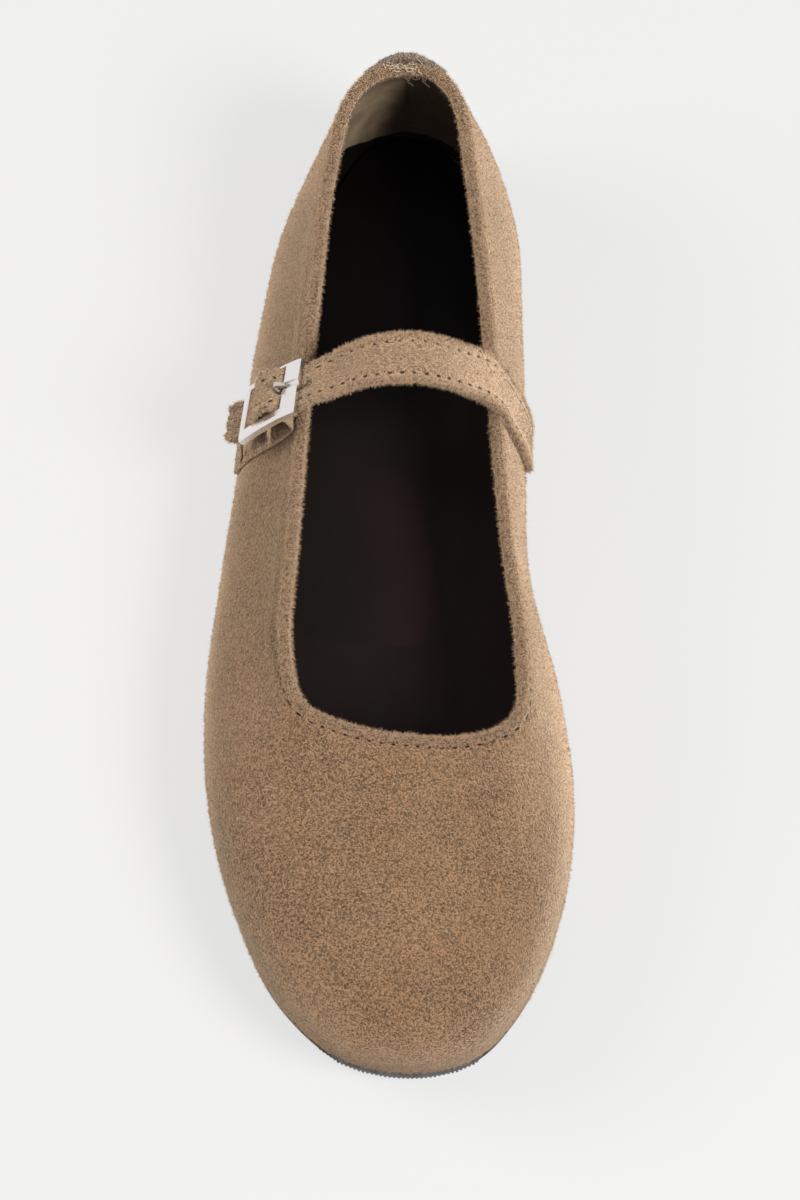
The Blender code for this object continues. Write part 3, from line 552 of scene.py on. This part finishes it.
def suede(name, light=SUEDE_LIGHT, dark=SUEDE_DARK, seam=None, fold=False, cut_edge=False, grain=GRAIN):
    """Napped leather: curly tufts with light tips and dark roots, patches, painted sheen on steep walls,
    painted light on an end, needle holes painted dark as shade.
    """
    nodes = Nodes(name)
    tufts = nodes.noise(grain, 1.0, 0.5, distortion=0.9)
    strands = nodes.noise(grain * 0.5, 1.0, 0.5, distortion=0.7)
    mixed = nodes.math("ADD", nodes.math("MULTIPLY", tufts, TUFT_SHARE),
                       nodes.math("MULTIPLY", strands, 1.0 - TUFT_SHARE))
    tips = nodes.math("MULTIPLY", nodes.spread(mixed, 0.42, 0.61), 0.92)
    ruddy = nodes.spread(nodes.noise(17.0, 2.0, 0.5, distortion=0.4), 0.40, 0.68, 0.0, 0.75)
    light = nodes.blend(ruddy, light, shaded(light, (0.97, 0.90, 0.84)))
    patches = nodes.spread(nodes.noise(26.0, 3.0, 0.55, distortion=0.5), 0.34, 0.66, 0.0, 0.12)
    colour = nodes.blend(nodes.math("ADD", tips, patches), dark, light)
    height = mixed
    if fold:
        # painted sheen: steep walls behind the toe turn paler, as though lit at a grazing angle; the paler
        # toe patch takes the same blend
        blotchy = nodes.spread(patches, 0.0, 0.14, 0.8, 1.1)
        sheen_share = nodes.math("MULTIPLY", nodes.measure("painted_sheen_and_patch"), blotchy)
        faint = nodes.math("ADD", nodes.math("MULTIPLY", tips, 0.62), 0.30)
        paler = nodes.blend(faint, SUEDE_LIGHT, PAINTED_SHEEN_PALE)
        colour = nodes.blend(sheen_share, colour, paler)
        height = nodes.math("MULTIPLY", height, nodes.spread(sheen_share, 0.0, 1.0, 1.0, 0.45))
        on_fold = nodes.spread(nodes.measure("edge_distance"), FOLD_WIDTH + 0.3, FOLD_WIDTH - 0.6, 0.0, 0.85)
        speckled = nodes.blend(nodes.spread(mixed, 0.39, 0.62), FOLD_DARK, FOLD_LIGHT)
        colour = nodes.blend(on_fold, colour, speckled)
    if cut_edge:
        # painted light: the strap's inner end is blended to a paler tone, as though lit
        lit_end_tone = nodes.blend(tips, light, PAINTED_SHEEN_PALE)
        colour = nodes.blend(nodes.measure("painted_light_end"), colour, lit_end_tone)
        colour = nodes.blend(nodes.measure("cut_edge"), colour, CUT_EDGE)
        colour = nodes.blend(nodes.measure("layer_line"), colour, dark)
        # painted shade: the spare hole, only a shallow dent, is blended nearly black
        colour = nodes.blend(nodes.measure("spare_hole"), colour, shaded(dark, 0.10))
    sheen = NAP_GLOW
    if seam:
        holes = nodes.math("MULTIPLY", needle_holes(nodes, *seam), nodes.measure("open_holes"))
        # painted shade: the needle holes are blended nearly black
        colour = nodes.blend(holes, colour, shaded(dark, 0.22))
        height = nodes.math("SUBTRACT", height, nodes.math("MULTIPLY", holes, 0.35))
        sheen = nodes.spread(holes, 0.0, 0.6, NAP_GLOW, 0.0)
    return nodes.finish(colour, nodes.bump(height, SUEDE_RELIEF), Roughness=0.95, Diffuse_Roughness=1.0,
                        Specular_IOR_Level=0.10, Sheen_Weight=sheen, Sheen_Roughness=0.42,
                        Sheen_Tint=(1.0, 0.81, 0.61))


def hair_finish(name, light=HAIR_LIGHT, dark=HAIR_DARK):
    nodes = Nodes(name)
    tone = nodes.spread(nodes.noise(0.8, 1.0), 0.26, 0.54)
    return nodes.finish(nodes.blend(tone, dark, light), Roughness=0.9, Specular_IOR_Level=0.2)


def lining_leather():
    nodes = Nodes("lining_leather")
    patches = nodes.spread(nodes.noise(7.0, 4.0, 0.6), 0.3, 0.7)
    colour = nodes.blend(patches, LINING_DARK, LINING_LIGHT)
    # painted shadow of the heel wall on the lining, and the lining's dark heel seam
    colour = nodes.blend(nodes.measure("lining_shadow_and_seam"), colour, LINING_SHADOW_AND_SEAM)
    wavy = nodes.spread(nodes.noise(6.0, 2.0), 0.3, 0.7, -0.3, 0.3)
    uneven = nodes.math("ADD", nodes.measure("over_black_line"), wavy)
    # black up the inside of the heel, below a wavy line
    colour = nodes.blend(nodes.spread(uneven, 0.35, -0.35), colour, INSIDE_BLACK)
    normal = nodes.bump(nodes.noise(0.5, 2.0), 0.08)
    normal = nodes.bump(nodes.noise(9.0, 2.0), 0.8, before=normal)
    return nodes.finish(colour, normal, Roughness=0.75, Specular_IOR_Level=0.15)


def insole_leather():
    nodes = Nodes("insole_sock")
    tint = nodes.spread(nodes.noise(30.0, 2.0, 0.5), 0.42, 0.68)
    colour = nodes.blend(tint, INSOLE_DARK, INSOLE_LIGHT)
    colour = nodes.blend(nodes.math("MULTIPLY", nodes.measure("pad"), 0.6), colour, PAD_TONE)
    colour = nodes.blend(nodes.measure("pad_tint"), colour, PAD_RUDDY)
    # painted shade: the insole turns darker towards the heel
    colour = nodes.blend(nodes.measure("heel_shade"), colour, INSOLE_HEEL_SHADE)
    rubbed = nodes.spread(nodes.noise(12.0, 3.0, 0.6, stretch=(1.0, 0.3, 1.0)), 0.3, 0.7, 0.42, 0.58)
    normal = nodes.bump(nodes.noise(0.7, 3.0, 0.6), 0.04)
    normal = nodes.bump(nodes.noise(16.0, 2.0, 0.5, stretch=(1.0, 0.35, 1.0)), 0.35, before=normal)
    return nodes.finish(colour, normal, Roughness=rubbed, Specular_IOR_Level=0.06)


def sole_rubber():
    nodes = Nodes("sole_rubber")
    patches = nodes.spread(nodes.noise(3.0, 3.0, 0.6), 0.3, 0.7)
    normal = nodes.bump(nodes.noise(0.6, 3.0, 0.6), 0.10)
    return nodes.finish(nodes.blend(patches, RUBBER_DARK, RUBBER_LIGHT), normal, Roughness=0.72)


def buckle_metal(name, tone, roughness):
    nodes = Nodes(name)
    smears = nodes.spread(nodes.noise(2.4, 3.0, 0.6), 0.3, 0.7, roughness - 0.04, roughness + 0.04)
    normal = nodes.bump(nodes.noise(0.9, 2.0), 0.01)
    return nodes.finish(tone, normal, Metallic=1.0, Roughness=smears)


def thread_finish(name, light=THREAD_LIGHT):
    nodes = Nodes(name)
    twist = nodes.noise(0.35, 1.0)
    colour = nodes.blend(twist, shaded(light, 0.6), light)
    return nodes.finish(colour, nodes.bump(twist, 0.06), Roughness=0.85, Sheen_Weight=0.2)


def inside_faces(inner_rim, stops):
    """Faces of the inside wall: those below the inner rim, as far as the lines that stop them."""
    rim = set(inner_rim)
    ends = rim | {vertex for line in stops for vertex in line}
    waiting = []
    for edge in {edge for vertex in rim for edge in vertex.link_edges if edge.other_vert(vertex) in rim}:
        waiting.append(min(edge.link_faces, key=lambda face: min(vertex.co.z for vertex in face.verts)))
    found = set(waiting)
    while waiting:
        for edge in waiting.pop().edges:
            if edge.verts[0] in ends and edge.verts[1] in ends:
                continue
            beyond = [face for face in edge.link_faces if face not in found]
            found.update(beyond)
            waiting.extend(beyond)
    return found


def crease(points, start, end, width, depth):
    """Soft trough between two places in plan that fades out at both ends."""
    start, way = np.array(start, float), np.subtract(end, start).astype(float)
    share = np.clip(((points[:, :2] - start) @ way) / (way @ way), 0.0, 1.0)
    away = np.linalg.norm(points[:, :2] - start - share[:, None] * way, axis=1)
    return -depth * hump(away, 0.0, width) * np.sin(math.pi * share)


def make_upper(outside, lining):
    """The suede shell: smooth form, swollen topline fold with its puckered seam, soft creases, lining."""
    bm = merged_copy("upper")
    rims = sorted(sharp_lines(bm, 38.0)[1], key=line_length)
    tops = [rim for rim in rims if np.mean([vertex.co.z for vertex in rim]) > 20.0 * MM]
    feathers = [rim for rim in rims if rim not in tops]
    inner_rim, crown, outer_rim = tops
    topline = Line(crown)
    inside = inside_faces(inner_rim, feathers)
    for face in bm.faces:
        face.material_index = 1 if face in inside else 0
    beside_rim = dict.fromkeys(edge for rim in (inner_rim, outer_rim) for vertex in rim
                               for edge in vertex.link_edges if edge.other_vert(vertex) not in rim)
    bmesh.ops.subdivide_edges(bm, edges=list(beside_rim), cuts=2, use_grid_fill=True)
    upper = piece_from(bm, "suede_upper", [outside, lining])
    subdivide(upper, 2)
    points, normals = points_of(upper), normals_of(upper)
    distance, run = topline.measure(points)
    pucker = 1.0 + FOLD_PUCKER * np.cos(2 * math.pi * run / STITCH_PITCH)
    flatter = 1.0 - 0.5 * soft_step(-points[:, 1], 30.0, 48.0)
    relief = FOLD_SWELL * flatter * np.clip(1.0 - (distance / FOLD_WIDTH) ** 3, 0.0, 1.0) * pucker
    relief -= SEAM_DEPTH * flatter * hump(distance, FOLD_WIDTH, SEAM_WIDTH)
    relief += BEYOND_SEAM_RISE * flatter * hump(distance, FOLD_WIDTH + BEYOND_SEAM_PLACE, BEYOND_SEAM_WIDTH)
    for trough in TROUGHS:
        relief += crease(points, *trough)
    heel = UPPER_HIGH[1]
    at_heel = soft_step(points[:, 1], heel - 14.0, heel - 3.0) * soft_step(-normals[:, 1], 0.0, 0.6)
    relief += HEEL_ROLL * at_heel * hump(distance, 1.5, 6.0)
    set_points(upper, points + normals * relief[:, None])
    set_measure(upper, "edge_distance", distance)
    # height of the line below which the inside of the heel turns black, rising towards the outer side at the
    # back
    outer = soft_step(-points[:, 0], 4.5, 13.0)
    black_line = BLACK_LINE_HEIGHT + BLACK_LINE_RISE * outer * soft_step(points[:, 1], 60.0, 104.0)
    set_measure(upper, "over_black_line", points[:, 2] - black_line)
    # painted shadow: the lining beyond a slanting edge from the heel seam is marked dark, as though shaded by
    # the heel wall; the seam line is added
    past_shadow_edge = points[:, 0] - LINING_SEAM_PLACE + LINING_SHADOW_LEAN * (LINING_SHADOW_TOP - points[:, 2])
    shade = soft_step(past_shadow_edge, -3.0, 3.0)
    seam_line = hump(points[:, 0], LINING_SEAM_PLACE, 1.2) * soft_step(points[:, 2], 26.0, 38.0)
    set_measure(upper, "lining_shadow_and_seam", np.clip(0.85 * shade + 0.6 * seam_line, 0.0, 1.0))
    set_measure(upper, "seam_run", run)
    set_measure(upper, "open_holes", 0.12 + 0.80 * soft_step(-points[:, 1], 24.0, 44.0))
    # painted sheen: steep walls behind the toe, a little more on the inner side, are marked to turn paler, as
    # though lit at a grazing angle; the paler toe patch is added
    steep = soft_step(1.0 - normals[:, 2], 0.15, 0.95)
    inner = soft_step(normals[:, 0], -0.2, 0.6)
    behind_toe = soft_step(points[:, 1] + 30.0 * inner, -80.0, -25.0)
    from_patch = np.hypot(points[:, 0] - PALE_PATCH[0], (points[:, 1] - PALE_PATCH[1]) / 2.2)
    light_patch = PALE_PATCH_SHARE * hump(from_patch, 0.0, PALE_PATCH_WIDTH)
    set_measure(upper, "painted_sheen_and_patch", steep * behind_toe * (0.92 + 0.06 * inner) + light_patch)
    finish_piece(upper, "suede", "upper")
    outside_share = np.ones(len(points))
    for polygon in upper.data.polygons:
        if polygon.material_index == 1:
            outside_share[list(polygon.vertices)] = 0.0
    return upper, distance, outside_share


def upper_heel_top(upper):
    """Highest place of the topline at the middle of the heel."""
    points = points_of(upper)
    near = points[(np.abs(points[:, 0] - 4.0) < 3.0) & (points[:, 1] > UPPER_HIGH[1] - 12.0)]
    return near[near[:, 2].argmax()]


def make_soft_piece(node, name, material, size, rounds):
    """Even fine copy of a thin suede solid with rubbed edges."""
    piece = piece_from(merged_copy(node), name, [material])
    soften(piece, size, rounds)
    return piece


def by_buckle(points):
    """Places of points in the buckle's own directions: towards the instep, across and outwards."""
    return (points - BUCKLE_MIDDLE) @ BUCKLE_AXES.T


def from_buckle(places):
    return BUCKLE_MIDDLE + places @ BUCKLE_AXES


def strap_by_buckle(points):
    """Strap with its worn hole drawn up to the instep bar and its tip standing off the wall."""
    places = by_buckle(points)
    along, across, out = places.T
    near = np.abs(across) < 9.0
    pulled = np.exp(-((along - 3.3) / 3.0) ** 4 - (across / 3.4) ** 4) * near
    past = np.clip((-8.4 - along) / 6.0, 0.0, 1.2) * near
    puffed = np.exp(-(along / 6.0) ** 4) * near
    across = across + STRAP_WIDENING * puffed * soft_step(across, 1.0, 6.5)
    out = out + STRAP_PUFF * puffed - HOLE_DRAW * pulled + TIP_FLARE * past ** 1.3
    moved = np.stack([along + HOLE_DRAW * pulled, across, out], axis=1)
    return from_buckle(moved)


def make_buckle_frame():
    """Bright frame with its wide instep and front bars."""
    bm = merged_copy("buckle_frame")
    bmesh.ops.bevel(bm, geom=sharp_edges(bm, 24.0), offset=0.12 * MM, segments=1, profile=0.5, affect="EDGES",
                    material=-1, clamp_overlap=True)
    piece = piece_from(bm, "bright_buckle", [buckle_metal("bright_frame", FRAME_STEEL, 0.24)])
    along, across, out = by_buckle(points_of(piece)).T
    wider = np.interp(along, *BAR_PLACES)
    fuller = np.interp(across, *SIDE_PLACES)
    tilted = out - 0.5 * soft_step(wider, 6.5, 9.6) - 0.25 * soft_step(-fuller, 6.0, 8.3)
    set_points(piece, from_buckle(np.stack([wider, fuller, tilted], axis=1)))
    return finish_piece(piece, "bright_steel", "buckle_frame", smooth=False)


def make_prong():
    """Bent pin that comes up through the strap's hole and rests on the instep bar."""
    metal = buckle_metal("bright_prong", PRONG_STEEL, 0.36)
    piece = piece_from(merged_copy("buckle_prong"), "bright_prong", [metal])
    subdivide(piece, 2)
    along, across, out = by_buckle(points_of(piece)).T
    nearer = np.interp(along, *PRONG_PLACES)
    aside = 0.25 * np.maximum(nearer - 3.5, 0.0)
    set_points(piece, from_buckle(np.stack([nearer, across * PRONG_THICKENING + aside, out], axis=1)))
    return finish_piece(piece, "prong_steel", "buckle_prong")


def make_strap(material):
    """Instep strap with its seam channels, cut edges and measures for the needle holes."""
    bm = merged_copy("instep_strap")
    longest = sorted(sharp_lines(bm, 50.0)[0], key=line_length)[-4:]
    from_seat = [line if line[0].co.x > line[-1].co.x else line[::-1] for line in longest]
    lines = sorted((Line(vertices) for vertices in from_seat), key=lambda line: line.points[:, 1].mean())
    bm.free()
    front_under, front = sorted(lines[:2], key=lambda line: line.points[:, 2].mean())
    back_under, back = sorted(lines[2:], key=lambda line: line.points[:, 2].mean())
    strap = make_soft_piece("instep_strap", "suede_strap", material, 0.33, 5)
    points, normals = points_of(strap), normals_of(strap)
    to_front, run = front.measure(points)
    distance = np.minimum(to_front, back.measure(points)[0])
    under = np.minimum(front_under.measure(points)[0], back_under.measure(points)[0])
    thickness = front_under.measure([front.at(front.length / 2)])[0][0]
    relief = -STRAP_GROOVE * hump(distance, STRAP_SEAM_INSET, 1.1)
    ripple = np.cos(2 * math.pi * run / STRAP_STITCH_PITCH)
    relief += 0.10 * hump(distance, STRAP_SEAM_INSET - 1.0, 2.2) * ripple
    along, across, _ = by_buckle(points).T
    from_hole = np.hypot(along - SPARE_HOLE_PLACE, across)
    spare_hole = soft_step(-from_hole, -SPARE_HOLE_RADIUS - 0.2, 0.2 - SPARE_HOLE_RADIUS)
    points = points + normals * (relief - SPARE_HOLE_DENT * spare_hole)[:, None]
    lean = np.radians(np.interp(points[:, 0], (14.0, 30.0), (10.0, 62.0)))
    upward = np.stack([np.sin(lean), np.zeros(len(points)), np.cos(lean)], axis=1)
    below = np.where((normals * upward).sum(axis=1) < -0.5, 1.0, distance / (distance + under + 1e-6))
    below *= (normals * upward).sum(axis=1) < 0.5
    thicker = SEAT_THICKENING * soft_step(points[:, 0], 13.0, 22.0) * below
    set_points(strap, strap_by_buckle(points - upward * thicker[:, None]))
    set_measure(strap, "edge_distance", distance)
    set_measure(strap, "seam_run", run)
    set_measure(strap, "open_holes", np.full(len(points), 0.9))
    on_side = np.clip(1.6 - 5.0 * (distance + under - thickness) / thickness, 0.0, 1.0)
    set_measure(strap, "cut_edge", on_side * soft_step(points[:, 0], -8.0, -14.0))
    set_measure(strap, "spare_hole", spare_hole)
    # painted light: the strap's inner end, off its cut sides, is marked to turn paler
    set_measure(strap, "painted_light_end", 0.75 * soft_step(points[:, 0], 10.0, 24.0) * (1.0 - on_side))
    set_measure(strap, "layer_line", 0.7 * on_side * hump(distance - under, 0.0, 0.5))
    finish_piece(strap, "strap_suede", "instep_strap")
    return strap, front, back, distance


def make_strap_stitches(front, back, material):
    """Short stitches between the needle holes of the strap, half sunk in the suede."""
    runs = np.arange(1.0, front.length / STRAP_STITCH_PITCH - 1.0) * STRAP_STITCH_PITCH
    at_front, at_back = front.at(runs), back.at(runs / front.length * back.length)
    across, headings = directions(at_back - at_front), front.heading(runs)
    up = directions(np.cross(headings, across))
    up *= np.sign(up[:, 2:3])
    inset = across * STRAP_SEAM_INSET
    sunk = np.tile(up, (2, 1)) * STRAP_GROOVE
    places = strap_by_buckle(np.concatenate([at_front + inset, at_back - inset]) - sunk)
    base = bmesh.new()
    bmesh.ops.create_uvsphere(base, u_segments=8, v_segments=6, radius=0.5 * MM)
    axes = axes_along(np.tile(headings, (2, 1)), np.tile(up, (2, 1)), STITCH_LENGTH, THREAD_WIDTH,
                      THREAD_WIDTH)
    return finish_piece(repeated("strap_stitches", base, axes, places, material), "strap_suede")


def smooth_block(node, name, material, edge, levels):
    """Finer copy of a moulded solid with its corners rounded."""
    bm = merged_copy(node)
    bmesh.ops.bevel(bm, geom=sharp_edges(bm, 40.0), offset=edge * MM, segments=2, profile=0.5, affect="EDGES",
                    material=-1, clamp_overlap=True)
    piece = piece_from(bm, name, [material])
    subdivide(piece, levels)
    return piece


def make_heel_strip(material):
    """Heel strip with an arched, ragged top."""
    strip = make_soft_piece("heel_strip", "suede_heel_strip", material, 0.33, 5)
    points = points_of(strip)
    top, middle = points[:, 2].max(), (points[:, 0].max() + points[:, 0].min()) / 2
    at_top = soft_step(points[:, 2], top - 8.0, top - 1.0)
    aside = np.abs(points[:, 0] - middle)
    fall = STRIP_FALL * soft_step(aside, 1.0, 8.5)
    rise = STRIP_RISE * hump(aside, 0.0, 7.0)
    ragged = np.array([noise.noise(Vector(point) * 0.9) for point in points])
    points[:, 2] += at_top * (rise - fall + STRIP_RAGGED * ragged)
    points[:, 1] -= at_top * STRIP_LEAN * soft_step(aside, 3.0, 8.5)
    set_points(strip, points)
    finish_piece(strip, "dark_suede", "heel_strip")
    return strip


def make_threads(name, slot, ends, length, weight, material):
    """Loose curly threads: short straight bits in a chain, each thread from its own end."""
    places, headings = [], []
    for end in ends:
        spot, heading = np.array(end, float), directions(random_numbers.normal(size=3) * (1.0, 0.5, 0.3))
        for _ in range(round(length * random_numbers.uniform(0.5, 1.3) / THREAD_BIT)):
            places.append(spot)
            headings.append(heading)
            spot = spot + heading * THREAD_BIT
            heading = directions(heading + random_numbers.normal(0.0, 0.33, 3) * (1.0, 0.7, 0.4))
    places, headings = np.array(places), np.array(headings)
    base = bmesh.new()
    bmesh.ops.create_uvsphere(base, u_segments=6, v_segments=4, radius=0.5 * MM)
    axes = axes_along(headings, np.tile(UPRIGHT, (len(headings), 1)) + 0.01, 0.55, weight, weight)
    return finish_piece(repeated(name, base, axes, places, material), slot)


def tuck_share(forward):
    """How far the sole's side is tucked under the upper, from the way it faces: not at all at the toe."""
    return soft_step(forward, -0.86, -0.60)


def make_outsole(material):
    outsole = smooth_block("outsole", "rubber_outsole", material, 0.35, 2)
    points, normals = points_of(outsole), normals_of(outsole)
    level = directions(normals * (1.0, 1.0, 0.0))
    on_side = soft_step(np.hypot(normals[:, 0], normals[:, 1]), 0.3, 0.8)
    set_points(outsole, points - level * (SOLE_TUCK * on_side * tuck_share(level[:, 1]))[:, None])
    return finish_piece(outsole, "rubber", "outsole")


def make_sole_ribs(material):
    """Row of small upright ribs along the lower edge of the sole's side."""
    bm = merged_copy("outsole")
    tree = BVHTree.FromBMesh(bm)
    bm.free()
    bm = merged_copy("upper")
    feathers = [rim for rim in sharp_lines(bm, 38.0)[1] if rim[0].co.z < 20.0 * MM]
    feather = Line(max(feathers, key=line_length))
    bm.free()
    places, outs = [], []
    for run in np.linspace(0.0, feather.length, round(feather.length / RIB_PITCH), endpoint=False):
        spot = feather.at(run)
        out = directions(np.cross(feather.heading(run), UPRIGHT))
        out *= np.sign(out @ (spot - UPPER_MIDDLE))
        under = tree.ray_cast(Vector((spot - out * 1.5 - UPRIGHT * 40.0) * MM), Vector(UPRIGHT))[0]
        start = spot + out * 12.0
        start[2] = under.z / MM + RIB_LIFT
        side = tree.ray_cast(Vector(start * MM), Vector(-out))[0]
        places.append(np.array(side) / MM - out * (SOLE_TUCK * tuck_share(out[1]) + RIB_STANDING))
        outs.append(out)
    base = bmesh.new()
    bmesh.ops.create_cube(base, size=MM)
    bmesh.ops.bevel(base, geom=base.edges[:], offset=0.2 * MM, segments=1, profile=0.5, affect="EDGES",
                    material=-1)
    axes = axes_along(np.array(outs), np.tile(UPRIGHT, (len(outs), 1)), RIB_LENGTH, RIB_WIDTH, RIB_HEIGHT)
    return finish_piece(repeated("sole_ribs", base, axes, np.array(places), material), "rubber")


def make_insole(material):
    """Black sock with a slightly raised pad, along the outer side, that ends in a round front corner."""
    insole = smooth_block("insole", "black_insole", material, 0.3, 3)
    points, normals = points_of(insole), normals_of(insole)
    across, along = points[:, 0], points[:, 1]
    edge = PAD_EDGE_FRONT + (PAD_EDGE_BACK - PAD_EDGE_FRONT) * soft_step(along, -2.0, 30.0)
    from_edge = edge - across
    from_front = along - PAD_FRONT - 0.10 * np.maximum(-across, 0.0)
    corner = np.hypot(np.minimum(from_edge - PAD_CORNER, 0.0), np.minimum(from_front - PAD_CORNER, 0.0))
    inward = np.minimum(PAD_CORNER - corner, np.minimum(from_edge, from_front))
    pad = soft_step(inward, -0.2, 1.2) * (normals[:, 2] > 0.5)
    set_points(insole, points + normals * PAD_RISE * pad[:, None])
    set_measure(insole, "pad", pad)
    set_measure(insole, "pad_tint", pad * hump(from_edge, 6.0, 16.0) * soft_step(-along, -32.0, -12.0) * 0.8)
    # painted shade: darker towards the heel
    set_measure(insole, "heel_shade", soft_step(along, 20.0, 75.0))
    return finish_piece(insole, "insole_leather", "insole")


def make_stage():
    floor_mesh = bmesh.new()
    bmesh.ops.create_grid(floor_mesh, x_segments=1, y_segments=1, size=3.0)
    nodes = Nodes("pale_floor")
    material = nodes.finish(FLOOR_TONE, Roughness=1.0, Specular_IOR_Level=0.0, Emission_Color=(1.0, 1.0, 1.0),
                            Emission_Strength=FLOOR_GLOW)
    floor = piece_from(floor_mesh, "floor", [material])


def make_light(name, place, size, power, tone):
    """Round soft light that looks at the shoe's middle; place and size are in metres."""
    light = bpy.data.lights.new(name, "AREA")
    light.shape = "DISK"
    light.size = size
    light.energy = power
    light.color = tone
    lamp = bpy.data.objects.new(name, light)
    bpy.context.scene.collection.objects.link(lamp)
    lamp.location = place
    lamp.rotation_euler = (-Vector(place)).to_track_quat("-Z", "Y").to_euler()
    lamp.visible_glossy = False


def make_lights():
    for lamp in LAMPS:
        make_light(*lamp)
    world = bpy.data.worlds.new("studio")
    world.use_nodes = True
    world.node_tree.nodes["Background"].inputs["Color"].default_value = (1.0, 1.0, 1.0, 1.0)
    mirrored = world.node_tree.nodes.new("ShaderNodeLightPath").outputs["Is Glossy Ray"]
    strength = world.node_tree.nodes.new("ShaderNodeMapRange")
    world.node_tree.links.new(mirrored, strength.inputs["Value"])
    strength.inputs["To Min"].default_value = WORLD_LIGHT
    strength.inputs["To Max"].default_value = WORLD_MIRRORED
    world.node_tree.links.new(strength.outputs[0], world.node_tree.nodes["Background"].inputs["Strength"])
    bpy.context.scene.world = world


def make_camera():
    data = bpy.data.cameras.new("camera")
    data.sensor_fit = "VERTICAL"
    data.sensor_height = CAMERA_SENSOR
    data.lens = CAMERA_LENS
    camera = bpy.data.objects.new("camera", data)
    bpy.context.scene.collection.objects.link(camera)
    rise = math.radians(CAMERA_HEIGHT_ANGLE)
    away = Vector((0.0, -math.cos(rise), math.sin(rise)))
    camera.location = (CAMERA_AIM + away * CAMERA_DISTANCE) * MM
    camera.rotation_euler = (math.pi / 2 - rise, 0.0, 0.0)
    bpy.context.scene.camera = camera


make_camera()
make_stage()
make_lights()
bpy.context.scene.view_settings.view_transform = "Standard"

suede_hair = hair_finish("suede_hair")
strap_hair = hair_finish("strap_hair", STRAP_HAIR, STRAP_DARK)
rubber = sole_rubber()
thread = thread_finish("seam_thread")

upper_suede = suede("upper_suede", seam=(FOLD_WIDTH, STITCH_PITCH, NEEDLE_HOLE), fold=True)
upper, rim_distance, outside_share = make_upper(upper_suede, lining_leather())
clear_of_seam = 1.0 - 0.96 * hump(rim_distance, FOLD_WIDTH + 0.2, 1.9)
hairs("upper_nap", upper, "suede", UPPER_HAIRS, outside_share * clear_of_seam, suede_hair)
rim_share = outside_share * clear_of_seam * (hump(rim_distance, 0.0, FOLD_WIDTH * 2.0) + 0.02)
hairs("topline_fuzz", upper, "suede", RIM_HAIRS, rim_share, suede_hair, length=1.1)

strap_seam = (STRAP_SEAM_INSET, STRAP_STITCH_PITCH, STRAP_NEEDLE_HOLE)
strap_suede = suede("strap_suede", STRAP_LIGHT, STRAP_DARK, seam=strap_seam, cut_edge=True)
strap, strap_front, strap_back, strap_distance = make_strap(strap_suede)
make_strap_stitches(strap_front, strap_back, thread)
clear_of_strap_seam = 1.0 - 0.97 * hump(strap_distance, STRAP_SEAM_INSET, 1.9)
strap_share = (hump(strap_distance, 0.0, 2.2) + 0.12) * clear_of_strap_seam
hairs("strap_fuzz", strap, "strap_suede", STRAP_HAIRS, strap_share, strap_hair, length=1.05)

tab = make_soft_piece("buckle_tab", "suede_tab", suede("tab_suede", STRAP_LIGHT, STRAP_DARK), 0.25, 3)
finish_piece(tab, "tab_suede", "buckle_tab")
hairs("tab_fuzz", tab, "tab_suede", TAB_HAIRS, np.ones(len(tab.data.vertices)), strap_hair, length=0.6)

strip = make_heel_strip(suede("strip_suede", STRIP_LIGHT, STRIP_DARK))
heel_top = upper_heel_top(upper)
for bunch in THREAD_BUNCHES:
    ends = heel_top + random_numbers.uniform(bunch.low, bunch.high, (bunch.count, 3))
    finish = thread_finish(bunch.finish, bunch.tone)
    make_threads(bunch.name, "suede", ends, bunch.length, bunch.weight, finish)
strip_hair = hair_finish("strip_hair", STRIP_HAIR, STRIP_DARK)
all_over_strip = np.ones(len(strip.data.vertices))
hairs("strip_fuzz", strip, "dark_suede", STRIP_HAIRS, all_over_strip, strip_hair, length=0.9)

make_outsole(rubber)
make_sole_ribs(rubber)
make_insole(insole_leather())
make_buckle_frame()
make_prong()
